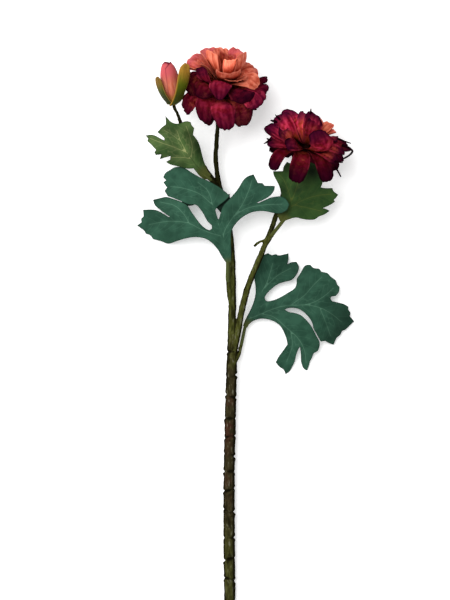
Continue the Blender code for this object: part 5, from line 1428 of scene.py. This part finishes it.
def build_bud(petal_material, sepal_material, inside_material):
    place = frame_of(BUD_SEAT, BUD_AXIS)
    sheets = []
    for index, turn in enumerate(BUD_TURNS):
        points = rolled_points(place, turn, BUD_MESH)
        sheets.append(petal_sheet(f"bud_{index}", points, None, 0.5, 1.0, index / 3))
    petals = join("bud_cloth", sheets)
    thicken(petals, sizes().petal_thickness)
    rises = [SEAT_GAP + (BUD_LENGTH - SEAT_GAP) * share for share in (0.0, 0.25, 0.5, 0.75, 0.92)]
    core = hub("bud_core", place, [(float(bud_radius(rise)) * BUD_CORE, rise) for rise in rises])
    petals = join("bud_cloth", [petals, core])
    give_materials(petals, petal_material)
    dress(petals, "bud_petals")

    def clear_of_petals(to_right, to_front, rise):
        away = np.hypot(to_right, to_front)
        least = bud_radius(rise) + SOLID_PETAL + SEAT_GAP + SOLID_PETAL
        share = np.where(rise > -1.5, soft_max(away, least, 0.3) / np.maximum(away, 0.5), 1.0)
        return to_right * share, to_front * share, rise

    sheets = []
    for index, sepal in enumerate(BUD_SEPALS):
        shape = {
            "claw": 0.85, "narrowing": 0.42, "ruffle": 0.0, "shoulder": 0.22, "roll": 0.0, "fine": 0.3,
            "fine_waves": 2.0, "nick": 0.004, "nick_waves": 3.0, "deep": 0.0, "phase": 0.7 * index,
        }
        points = petal_points(place, placed(sepal), shape, SEPAL_MESH, clear_of_petals)
        sheets.append(petal_sheet(f"sepal_{index}", points, None, 0.5, SEPAL_SHADES[index], index / 3))
    sepals = join("sepal_sheets", sheets)
    give_materials(sepals, sepal_material, inside_material)
    thicken(sepals, sizes().petal_thickness * SEPAL_THICKNESS_SHARE, inside_slot=1)
    cup = hub("bud_cup", place, [(2.4, -BUD_CUP_DEPTH), (4.6, -3.0), (6.0, -1.8), (6.2, -1.0), (5.4, 0.0)])
    give_materials(cup, sepal_material)
    whole = join("bud_sepal_cloth", [sepals, cup])
    dress(whole, "bud_sepals")


def add_node(tree, kind, inputs=(), **settings):
    """Adds a shader node. inputs maps a socket's name or number to a value or to another node's output."""
    made = tree.nodes.new(kind)
    for key, value in settings.items():
        setattr(made, key, value)
    for key, value in dict(inputs).items():
        if isinstance(value, bpy.types.NodeSocket):
            tree.links.new(value, made.inputs[key])
        else:
            made.inputs[key].default_value = value
    return made


def field(tree, name):
    """The number stored at each point under a name."""
    return add_node(tree, "ShaderNodeAttribute", attribute_name=name).outputs["Fac"]


def between(tree, value, low, high, to_low=0.0, to_high=1.0):
    """A smooth step of a value from one bound to the other."""
    step = add_node(
        tree,
        "ShaderNodeMapRange",
        {"Value": value, "From Min": low, "From Max": high, "To Min": to_low, "To Max": to_high},
        interpolation_type="SMOOTHSTEP",
    )
    return step.outputs["Result"]


def combined(tree, kind, a, b=0.0):
    return add_node(tree, "ShaderNodeMath", {0: a, 1: b}, operation=kind).outputs["Value"]


def times(tree, a, b):
    return combined(tree, "MULTIPLY", a, b)


def plus(tree, a, b):
    return combined(tree, "ADD", a, b)


def blend(tree, factor, a, b, kind="MIX"):
    """A mix of two colours, either of which may be a value or another node's output."""
    made = tree.nodes.new("ShaderNodeMix")
    made.data_type = "RGBA"
    made.blend_type = kind
    for socket, value in ((made.inputs[0], factor), (made.inputs[6], a), (made.inputs[7], b)):
        if isinstance(value, bpy.types.NodeSocket):
            tree.links.new(value, socket)
        elif isinstance(value, (int, float)):
            socket.default_value = value
        else:
            socket.default_value = (*value, 1.0)
    return made.outputs[2]


def multiplied(tree, a, b):
    return blend(tree, 1.0, a, b, "MULTIPLY")


def dye_ramp(tree, factor, stops):
    """A colour ramp through (place, colour) stops."""
    made = add_node(tree, "ShaderNodeValToRGB", {"Fac": factor})
    ramp = made.color_ramp
    while len(ramp.elements) < len(stops):
        ramp.elements.new(0.5)
    for element, (place, shade) in zip(ramp.elements, stops):
        element.position = place
        element.color = (*shade, 1.0)
    return made.outputs["Color"]


def object_places(tree):
    return add_node(tree, "ShaderNodeTexCoord").outputs["Object"]


def cloud(tree, places, scale, detail=2.0, roughness=0.5):
    """A soft noise, mostly between 0.3 and 0.7."""
    settings = {"Vector": places, "Scale": scale, "Detail": detail, "Roughness": roughness}
    return add_node(tree, "ShaderNodeTexNoise", settings).outputs["Fac"]


def new_group(name, inputs, outputs):
    """An empty shader group, from (name, default) pairs for its inputs and names for its outputs."""
    group = bpy.data.node_groups.new(name, "ShaderNodeTree")
    for socket_name, default in inputs:
        socket = group.interface.new_socket(socket_name, in_out="INPUT", socket_type="NodeSocketFloat")
        socket.default_value = default
    for socket_name in outputs:
        group.interface.new_socket(socket_name, in_out="OUTPUT", socket_type="NodeSocketFloat")
    return group, group.nodes.new("NodeGroupInput"), group.nodes.new("NodeGroupOutput")


def map_places(tree):
    """The two places of the piece's UV map, across and along."""
    places = add_node(tree, "ShaderNodeUVMap", uv_map="UVMap")
    return add_node(tree, "ShaderNodeSeparateXYZ", {0: places.outputs["UV"]}).outputs


def weave_group():
    """A plain weave on the piece's UV map, as a height."""
    found = bpy.data.node_groups.get("cloth_weave")
    if found:
        return found
    group, given, wanted = new_group("cloth_weave", [("Threads", 22.0)], ["Height"])
    parts = map_places(group)
    waves = []
    for axis in (0, 1):
        turns = times(group, times(group, parts[axis], given.outputs["Threads"]), 2 * math.pi)
        waves.append(combined(group, "SINE", turns))
    group.links.new(times(group, *waves), wanted.inputs["Height"])
    return group


def streak_group():
    """Long streaks from a petal's claw to its tip, different on each petal, and a soft mottle."""
    found = bpy.data.node_groups.get("petal_streaks")
    if found:
        return found
    group, given, wanted = new_group("petal_streaks", [("Fineness", 5.0)], ["Streak", "Mottle"])
    parts = map_places(group)
    across = times(group, parts[0], given.outputs["Fineness"])
    lot = times(group, field(group, "lot"), 23.0)
    narrow = add_node(group, "ShaderNodeCombineXYZ", {0: across, 1: times(group, parts[1], 0.5), 2: lot})
    group.links.new(cloud(group, narrow.outputs[0], 1.6, 3.0, 0.6), wanted.inputs["Streak"])
    broad = add_node(group, "ShaderNodeCombineXYZ", {0: parts[0], 1: parts[1], 2: lot})
    group.links.new(cloud(group, broad.outputs[0], 1.3), wanted.inputs["Mottle"])
    return group


def use_group(tree, group, **inputs):
    made = tree.nodes.new("ShaderNodeGroup")
    made.node_tree = group
    for key, value in inputs.items():
        made.inputs[key].default_value = value
    return made.outputs


def streaks(tree, fineness):
    """A petal's streaks and its mottle."""
    made = use_group(tree, streak_group(), Fineness=fineness)
    return made["Streak"], made["Mottle"]


def start_material(name, roughness, gloss=0.06):
    """A material with its own shader, and that shader."""
    old = bpy.data.materials.get(name)
    if old:
        bpy.data.materials.remove(old)
    made = bpy.data.materials.new(name)
    made.use_nodes = True
    shader = made.node_tree.nodes["Principled BSDF"]
    shader.inputs["Roughness"].default_value = roughness
    shader.inputs["Specular IOR Level"].default_value = gloss
    return made, made.node_tree, shader


def paint(tree, shader, tone):
    tree.links.new(tone, shader.inputs["Base Color"])


def add_bump(tree, shader, height, strength, distance):
    bump = add_node(tree, "ShaderNodeBump", {"Height": height, "Strength": strength, "Distance": distance})
    tree.links.new(bump.outputs["Normal"], shader.inputs["Normal"])


def weave(tree, shader, threads, strength, ridges=None):
    """Gives a shader the bump of its weave, with ridges added where there are some."""
    height = use_group(tree, weave_group(), Threads=threads)["Height"]
    if ridges is not None:
        height = plus(tree, height, ridges)
    add_bump(tree, shader, height, strength, THREAD_DEPTH)


def with_painted_shade(tree, tone, low, high, dark):
    """The tone times its petal's shade, with painted shade between the petals, where the space over the cloth
    is closed."""
    shaded = multiplied(tree, tone, field(tree, "shade"))
    return blend(tree, between(tree, field(tree, "open"), low, high), multiplied(tree, shaded, dark), shaded)


def patchy(tree, dye, mottle, amount):
    """The dye's strength, made uneven within each petal by a mottle, more often weaker than stronger."""
    return plus(tree, dye, between(tree, mottle, 0.3, 0.7, -amount * 0.7, amount * 0.3))


def outer_petal_cloth(name, edge_width, claw_reach, tip_shade, lit_edge, highlight_start):
    """Dyed cloth: an orange-brown claw, a body between coral and purple, and a near-black edge, with painted
    highlights on its raised folds and side edges and painted shade in its hollows, towards its edges, at its
    root and between the petals.
    """
    look = colours()
    made, tree, shader = start_material(name, CLOTH_ROUGHNESS, gloss=0.0)
    streak, mottle = streaks(tree, 1.3)
    along, rim = field(tree, "along"), field(tree, "rim")
    stops = [(0.0, look.coral), (0.2, look.russet), (0.38, look.crimson)]
    stops += [(0.68, look.magenta), (1.0, look.purple)]
    body = dye_ramp(tree, patchy(tree, field(tree, "dye"), mottle, 0.50), stops)
    # Painted highlight where the folds and streaks stand high, and painted shade where they lie low.
    height = plus(tree, times(tree, streak, 0.45), times(tree, field(tree, "fold"), 0.55))
    highlighted = times(tree, between(tree, height, highlight_start, highlight_start + 0.20), mottle)
    light = blend(tree, times(tree, highlighted, field(tree, "shade")), body, look.painted_highlight)
    deep = multiplied(tree, light, (0.48, 0.30, 0.34))
    shaded = blend(tree, between(tree, height, 0.36, 0.58), deep, light)
    # Painted shade towards the petal's edges, so that its middle looks lit.
    dim = multiplied(tree, shaded, (0.50, 0.34, 0.36))
    edge_shaded = blend(tree, between(tree, rim, 1.0, 6.5), dim, shaded)
    strayed = combined(tree, "SUBTRACT", along, times(tree, streak, 0.30))
    claw = between(tree, strayed, claw_reach * 0.45 - 0.15, claw_reach - 0.10, 0.75, 0.0)
    clawed = blend(tree, claw, edge_shaded, look.petal_claw)
    # Near-black towards the root: partly darker dye and partly painted shade where the petals crowd together.
    rooted = blend(tree, between(tree, along, 0.02, claw_reach * 0.7, 1.0, 0.0), clawed, look.petal_root)
    tipped = blend(tree, between(tree, along, 0.50, 0.95, 0.0, tip_shade), rooted, look.petal_tip)
    # Painted highlight along the side edges, broken by the mottle.
    near_edge = between(tree, rim, 0.3, 2.4, lit_edge, 0.0)
    near_edge = times(tree, near_edge, between(tree, along, 0.72, 0.90, 1.0, 0.0))
    near_edge = times(tree, near_edge, between(tree, mottle, 0.36, 0.60, 0.2, 1.3))
    lit = blend(tree, near_edge, tipped, look.painted_highlight)
    reach = combined(tree, "SUBTRACT", rim, times(tree, mottle, edge_width * 0.8))
    at_tip = between(tree, along, 0.70, 0.92, 0.12, 0.85)
    edge = times(tree, between(tree, reach, 0.0, edge_width, 1.0, 0.0), at_tip)
    edged = blend(tree, edge, lit, look.petal_edge)
    # Painted shade between the petals.
    paint(tree, shader, with_painted_shade(tree, edged, 0.05, 0.66, (0.16, 0.06, 0.10)))
    weave(tree, shader, PETAL_THREADS, 0.25, times(tree, streak, 4.0))
    return made


def inner_petal_cloth(name, tip_start, edge_shade):
    """Dyed cloth between pale peach and plum, with an ember-red claw and a rosy tip, painted highlights on
    its edges and painted shade in its creases and between the petals.
    """
    look = colours()
    made, tree, shader = start_material(name, CLOTH_ROUGHNESS)
    streak, mottle = streaks(tree, 2.2)
    along, rim, dye = field(tree, "along"), field(tree, "rim"), field(tree, "dye")
    stops = [(0.0, look.pale_peach), (0.35, look.peach), (0.72, look.rose), (0.97, look.plum)]
    body = dye_ramp(tree, patchy(tree, dye, mottle, 0.36), stops)
    start = plus(tree, along, times(tree, mottle, 0.35))
    rosy = between(tree, start, tip_start, tip_start + 0.36, 0.0, 0.85)
    rosy = times(tree, rosy, between(tree, dye, 0.22, 0.50))
    rosy = times(tree, rosy, between(tree, dye, 0.80, 0.90, 1.0, 0.0))
    tipped = blend(tree, rosy, body, look.rose)
    # Darker where the streaks and folds lie low: partly streaked dye and partly painted shade in the creases.
    warm = multiplied(tree, tipped, (0.62, 0.36, 0.30))
    height = plus(tree, times(tree, streak, 0.5), times(tree, field(tree, "fold"), 0.5))
    streaked = blend(tree, between(tree, height, 0.40, 0.58), warm, tipped)
    clawed = blend(tree, between(tree, along, 0.08, 0.50, 0.9, 0.0), streaked, look.ember)
    # Painted highlight along the edges, broken by the mottle.
    lit = times(tree, between(tree, rim, 0.4, 1.8, 1.2, 0.0), mottle)
    rimmed = blend(tree, lit, clawed, look.pale_peach)
    edged = blend(tree, between(tree, rim, 0.0, 0.7, edge_shade, 0.0), rimmed, look.ember)
    # Painted shade between the petals.
    paint(tree, shader, with_painted_shade(tree, edged, 0.06, 0.62, (0.26, 0.08, 0.04)))
    weave(tree, shader, PETAL_THREADS, 0.22, times(tree, streak, 3.0))
    return made


def bud_cloth():
    """Salmon cloth that turns rosy towards a dark maroon tip."""
    look = colours()
    made, tree, shader = start_material("bud_cloth", CLOTH_ROUGHNESS)
    streak = streaks(tree, 4.0)[0]
    along = field(tree, "along")
    warm = multiplied(tree, look.salmon, (0.80, 0.60, 0.50))
    body = blend(tree, between(tree, streak, 0.38, 0.62), warm, look.salmon)
    rosy = blend(tree, between(tree, along, 0.40, 0.80), body, look.rose)
    edged = blend(tree, between(tree, field(tree, "rim"), 0.2, 1.6, 0.55, 0.0), rosy, look.bud_tip)
    tipped = blend(tree, between(tree, along, 0.93, 1.0, 0.0, 0.9), edged, look.bud_tip)
    rooted = blend(tree, between(tree, along, 0.0, 0.25, 0.7, 0.0), tipped, look.sepal_rim)
    paint(tree, shader, rooted)
    weave(tree, shader, PETAL_THREADS, 0.25)
    return made


def sepal_cloth(name, body_colour, rim_colour, shade_colour):
    """A sepal's face: dark at its root, with a pale rim."""
    made, tree, shader = start_material(name, 0.58)
    streak = streaks(tree, 6.0)[0]
    along = field(tree, "along")
    body = blend(tree, between(tree, along, 0.25, 0.75), shade_colour, body_colour)
    ripe = blend(tree, between(tree, along, 0.55, 0.90, 0.0, 0.95), body, rim_colour)
    streaked = blend(tree, between(tree, streak, 0.60, 0.35, 0.0, 0.4), ripe, shade_colour)
    rimmed = blend(tree, between(tree, field(tree, "rim"), 0.2, 1.8, 0.75, 0.0), streaked, rim_colour)
    paint(tree, shader, multiplied(tree, rimmed, field(tree, "shade")))
    weave(tree, shader, LEAF_THREADS, 0.25)
    return made


def leaf_cloth(name, blade_colour, vein_colour, heart_reach):
    """Printed leaf cloth: pale main veins, faint side veins, a darker cut edge and a mottle."""
    made, tree, shader = start_material(name, CLOTH_ROUGHNESS)
    places = object_places(tree)
    mottle = cloud(tree, places, 95.0, 4.0)
    main = field(tree, "vein")
    deep = tuple(channel * 0.78 for channel in blade_colour)
    pale = tuple(0.88 * a + 0.12 * b for a, b in zip(blade_colour, vein_colour))
    body = blend(tree, between(tree, mottle, 0.34, 0.66), deep, pale)
    broad = blend(tree, between(tree, main, 0.0, heart_reach, 0.10, 0.0), body, vein_colour)
    fine = blend(tree, between(tree, field(tree, "fine_vein"), 0.05, 0.40, 0.20, 0.0), broad, vein_colour)
    broken = between(tree, mottle, 0.30, 0.55, 0.35, 0.85)
    veined = blend(tree, times(tree, between(tree, main, 0.05, 0.40, 1.0, 0.0), broken), fine, vein_colour)
    rim = between(tree, field(tree, "rim"), 0.0, 0.8, 0.75, 0.0)
    edged = blend(tree, rim, veined, tuple(channel * 0.16 for channel in blade_colour))
    patch = between(tree, cloud(tree, places, 26.0), 0.36, 0.62, 0.90, 1.08)
    # The shade field holds each leaf's lightness and the painted shade of its folds and shadowed parts.
    own = multiplied(tree, edged, times(tree, patch, field(tree, "shade")))
    stalk = between(tree, field(tree, "along"), 0.06, 0.15, 0.85, 0.0)
    paint(tree, shader, blend(tree, stalk, own, colours().bark_green))
    weave(tree, shader, LEAF_THREADS, 0.30)
    return made


def bark_plastic():
    """Moulded plastic painted as bark: long streaks, dark joints, greener young shoots, and painted shade
    along the sides of each branch as seen from above.
    """
    look = colours()
    made, tree, shader = start_material("bark_plastic", 0.60, gloss=0.0)
    places = object_places(tree)
    drawn_out = add_node(tree, "ShaderNodeMapping", {"Vector": places, "Scale": (1.0, 0.30, 1.0)}).outputs[0]
    streak = cloud(tree, drawn_out, 420.0, 5.0, 0.65)
    blotch = cloud(tree, drawn_out, 190.0, 3.0)
    young = blend(tree, field(tree, "young"), look.bark, look.bark_green)
    patch = between(tree, cloud(tree, places, 55.0, 3.0), 0.46, 0.60)
    worn = blend(tree, times(tree, patch, field(tree, "worn")), young, look.bark_red)
    streaked = blend(tree, between(tree, streak, 0.40, 0.58), look.bark_dark, worn)
    shaded = blend(tree, 0.50, worn, streaked)
    specked = blend(tree, between(tree, streak, 0.57, 0.66, 0.0, 0.75), shaded, look.bark_pale)
    blotched = blend(tree, between(tree, blotch, 0.36, 0.46, 0.70, 0.0), specked, look.bark_dark)
    # Painted shade along both sides of each branch as seen from above, a little wider on its right, broken up
    # by the blotches.
    strayed = plus(tree, field(tree, "flank"), times(tree, blotch, 0.40))
    right = between(tree, strayed, 0.62, 0.92, 0.0, 0.93)
    left = between(tree, strayed, -0.66, -0.46, 0.90, 0.0)
    side_shaded = blend(tree, combined(tree, "MAXIMUM", right, left), blotched, look.bark_dark)
    jointed = blend(tree, between(tree, field(tree, "joint"), 0.5, 2.6, 0.96, 0.0), side_shaded, look.bark_dark)
    paint(tree, shader, blend(tree, times(tree, field(tree, "darker_above"), 0.85), jointed, look.bark_dark))
    add_bump(tree, shader, streak, 0.5, 0.0006)
    return made


def calyx_plastic():
    """Green plastic with a faint grain."""
    look = colours()
    made, tree, shader = start_material("calyx_plastic", 0.55)
    grain = cloud(tree, object_places(tree), 320.0, 4.0)
    deep = tuple(channel * 0.4 for channel in look.sepal)
    paint(tree, shader, blend(tree, between(tree, grain, 0.35, 0.65), deep, look.sepal))
    add_bump(tree, shader, grain, 0.3, 0.0003)
    return made


def add_light(name, place, aim, width, power):
    deselect()
    bpy.ops.object.light_add(type="AREA", location=place)
    lamp = bpy.context.object
    lamp.name = name
    lamp.data.shape = "DISK"
    lamp.data.size = width
    lamp.data.energy = power
    lamp.rotation_mode = "QUATERNION"
    lamp.rotation_quaternion = (Vector(aim) - Vector(place)).to_track_quat("-Z", "Y")


def floor_paint():
    """Pale paint with a faint painted glow, which lifts the shadows cast on the floor so that it stays as
    light as the studio round it.
    """
    made, tree, shader = start_material("floor_paint", 0.9)
    grain = cloud(tree, object_places(tree), 3.0)
    tone = blend(tree, grain, (0.94, 0.94, 0.94), (0.96, 0.96, 0.96))
    paint(tree, shader, tone)
    tree.links.new(tone, shader.inputs["Emission Color"])
    # The glow lifts the shadows on the floor.
    shader.inputs["Emission Strength"].default_value = 0.30
    return made


class OBJECT_OT_zinnia_stem(bpy.types.Operator):
    """Build the forked stem with its joints, twig and stubs"""

    bl_idname = "object.zinnia_stem"
    bl_label = "Stem"

    def execute(self, context):
        build_stem(bark_plastic())
        return {"FINISHED"}


class OBJECT_OT_zinnia_leaves(bpy.types.Operator):
    """Build the four lobed leaves"""

    bl_idname = "object.zinnia_leaves"
    bl_label = "Leaves"

    def execute(self, context):
        look = colours()
        cloths = {
            "blue_green": leaf_cloth("teal_leaf_cloth", look.teal, look.teal_vein, heart_reach=3.0),
            "mid_green": leaf_cloth("green_leaf_cloth", look.green, look.green_vein, heart_reach=4.0),
            "olive_green": leaf_cloth("olive_leaf_cloth", look.olive, look.olive_vein, heart_reach=7.0),
        }
        for name, form in LEAVES.items():
            build_leaf(name, form, cloths[form["green"]], LEAF_SHADES[name])
        return {"FINISHED"}


class OBJECT_OT_zinnia_bud(bpy.types.Operator):
    """Build the closed bud with its sepals"""

    bl_idname = "object.zinnia_bud"
    bl_label = "Bud"

    def execute(self, context):
        look = colours()
        shade = tuple(0.35 * channel for channel in look.sepal)
        outside = sepal_cloth("sepal_cloth", look.sepal, look.sepal_rim, shade)
        within = sepal_cloth("sepal_inside_cloth", look.sepal, look.sepal_rim, look.sepal_inside)
        build_bud(bud_cloth(), outside, within)
        return {"FINISHED"}


class OBJECT_OT_zinnia_large_bloom(bpy.types.Operator):
    """Build the large bloom's outer and inner petals"""

    bl_idname = "object.zinnia_large_bloom"
    bl_label = "Large bloom"

    def execute(self, context):
        outer = outer_petal_cloth(
            "large_bloom_dyed_cloth",
            edge_width=1.3, claw_reach=0.44, tip_shade=0.72, lit_edge=0.60, highlight_start=0.40,
        )
        inner = inner_petal_cloth("large_bloom_peach_cloth", tip_start=0.72, edge_shade=0.35)
        build_bloom("large_bloom", BLOOMS["large_bloom"], outer, inner)
        return {"FINISHED"}


class OBJECT_OT_zinnia_small_bloom(bpy.types.Operator):
    """Build the small bloom's outer and inner petals"""

    bl_idname = "object.zinnia_small_bloom"
    bl_label = "Small bloom"

    def execute(self, context):
        outer = outer_petal_cloth(
            "small_bloom_dyed_cloth",
            edge_width=1.8, claw_reach=0.40, tip_shade=0.90, lit_edge=0.35, highlight_start=0.42,
        )
        inner = inner_petal_cloth("small_bloom_peach_cloth", tip_start=0.80, edge_shade=0.5)
        build_bloom("small_bloom", BLOOMS["small_bloom"], outer, inner)
        return {"FINISHED"}


class OBJECT_OT_zinnia_calyces(bpy.types.Operator):
    """Finish the green cups behind the blooms"""

    bl_idname = "object.zinnia_calyces"
    bl_label = "Calyces"

    def execute(self, context):
        made = calyx_plastic()
        for name in ("large_bloom_calyx", "small_bloom_calyx"):
            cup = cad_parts[name]
            if not cup.material_slots:
                cup.data.materials.append(made)
            for slot in cup.material_slots:
                slot.material = made
        return {"FINISHED"}


class OBJECT_OT_zinnia_stage(bpy.types.Operator):
    """Set the floor, the lights and the camera"""

    bl_idname = "object.zinnia_stage"
    bl_label = "Stage"

    def execute(self, context):
        deselect()
        bpy.ops.mesh.primitive_plane_add(size=8.0, location=(0.0, 0.0, -0.0002))
        floor = context.object
        floor.name = "floor"
        floor.data.materials.append(floor_paint())
        world = bpy.data.worlds.new("studio_air")
        world.use_nodes = True
        air = world.node_tree.nodes["Background"].inputs
        air["Color"].default_value = (1.0, 1.0, 1.0, 1.0)
        air["Strength"].default_value = AIR_BRIGHTNESS
        context.scene.world = world
        for light in LIGHTS:
            add_light(*light)
        height = sizes().camera_height
        bpy.ops.object.camera_add(location=(*CAMERA_PLACE, height))
        camera = context.object
        camera.rotation_euler = (0.0, 0.0, 0.0)
        camera.data.sensor_width = SENSOR_WIDTH
        camera.data.lens = SENSOR_WIDTH * (height - VIEW_LEVEL) / sizes().view_height
        camera.data.dof.use_dof = False
        context.scene.camera = camera
        context.scene.view_settings.view_transform = "Standard"
        return {"FINISHED"}


class VIEW3D_PT_zinnia(bpy.types.Panel):
    """The spray's sizes, colours and pieces"""

    bl_idname = "VIEW3D_PT_zinnia"
    bl_label = "Zinnia spray"
    bl_space_type = "VIEW_3D"
    bl_region_type = "UI"
    bl_category = "Zinnia"

    def draw(self, context):
        for operator in PIECES:
            self.layout.operator(operator.bl_idname)
        for group in (context.scene.zinnia_sizes, context.scene.zinnia_colours):
            column = self.layout.column()
            for name in group.bl_rna.properties.keys():
                if name not in ("rna_type", "name"):
                    column.prop(group, name)


PIECES = (
    OBJECT_OT_zinnia_stem,
    OBJECT_OT_zinnia_leaves,
    OBJECT_OT_zinnia_bud,
    OBJECT_OT_zinnia_large_bloom,
    OBJECT_OT_zinnia_small_bloom,
    OBJECT_OT_zinnia_calyces,
    OBJECT_OT_zinnia_stage,
)
CLASSES = (ZinniaSizes, ZinniaColours, *PIECES, VIEW3D_PT_zinnia)


def register():
    for item in CLASSES:
        bpy.utils.register_class(item)
    bpy.types.Scene.zinnia_sizes = bpy.props.PointerProperty(type=ZinniaSizes)
    bpy.types.Scene.zinnia_colours = bpy.props.PointerProperty(type=ZinniaColours)


def unregister():
    del bpy.types.Scene.zinnia_sizes
    del bpy.types.Scene.zinnia_colours
    for item in reversed(CLASSES):
        bpy.utils.unregister_class(item)


def main():
    register()
    bpy.ops.object.zinnia_stem()
    bpy.ops.object.zinnia_leaves()
    bpy.ops.object.zinnia_bud()
    bpy.ops.object.zinnia_large_bloom()
    bpy.ops.object.zinnia_small_bloom()
    bpy.ops.object.zinnia_calyces()
    bpy.ops.object.zinnia_stage()
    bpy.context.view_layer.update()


if __name__ == "__main__":
    main()
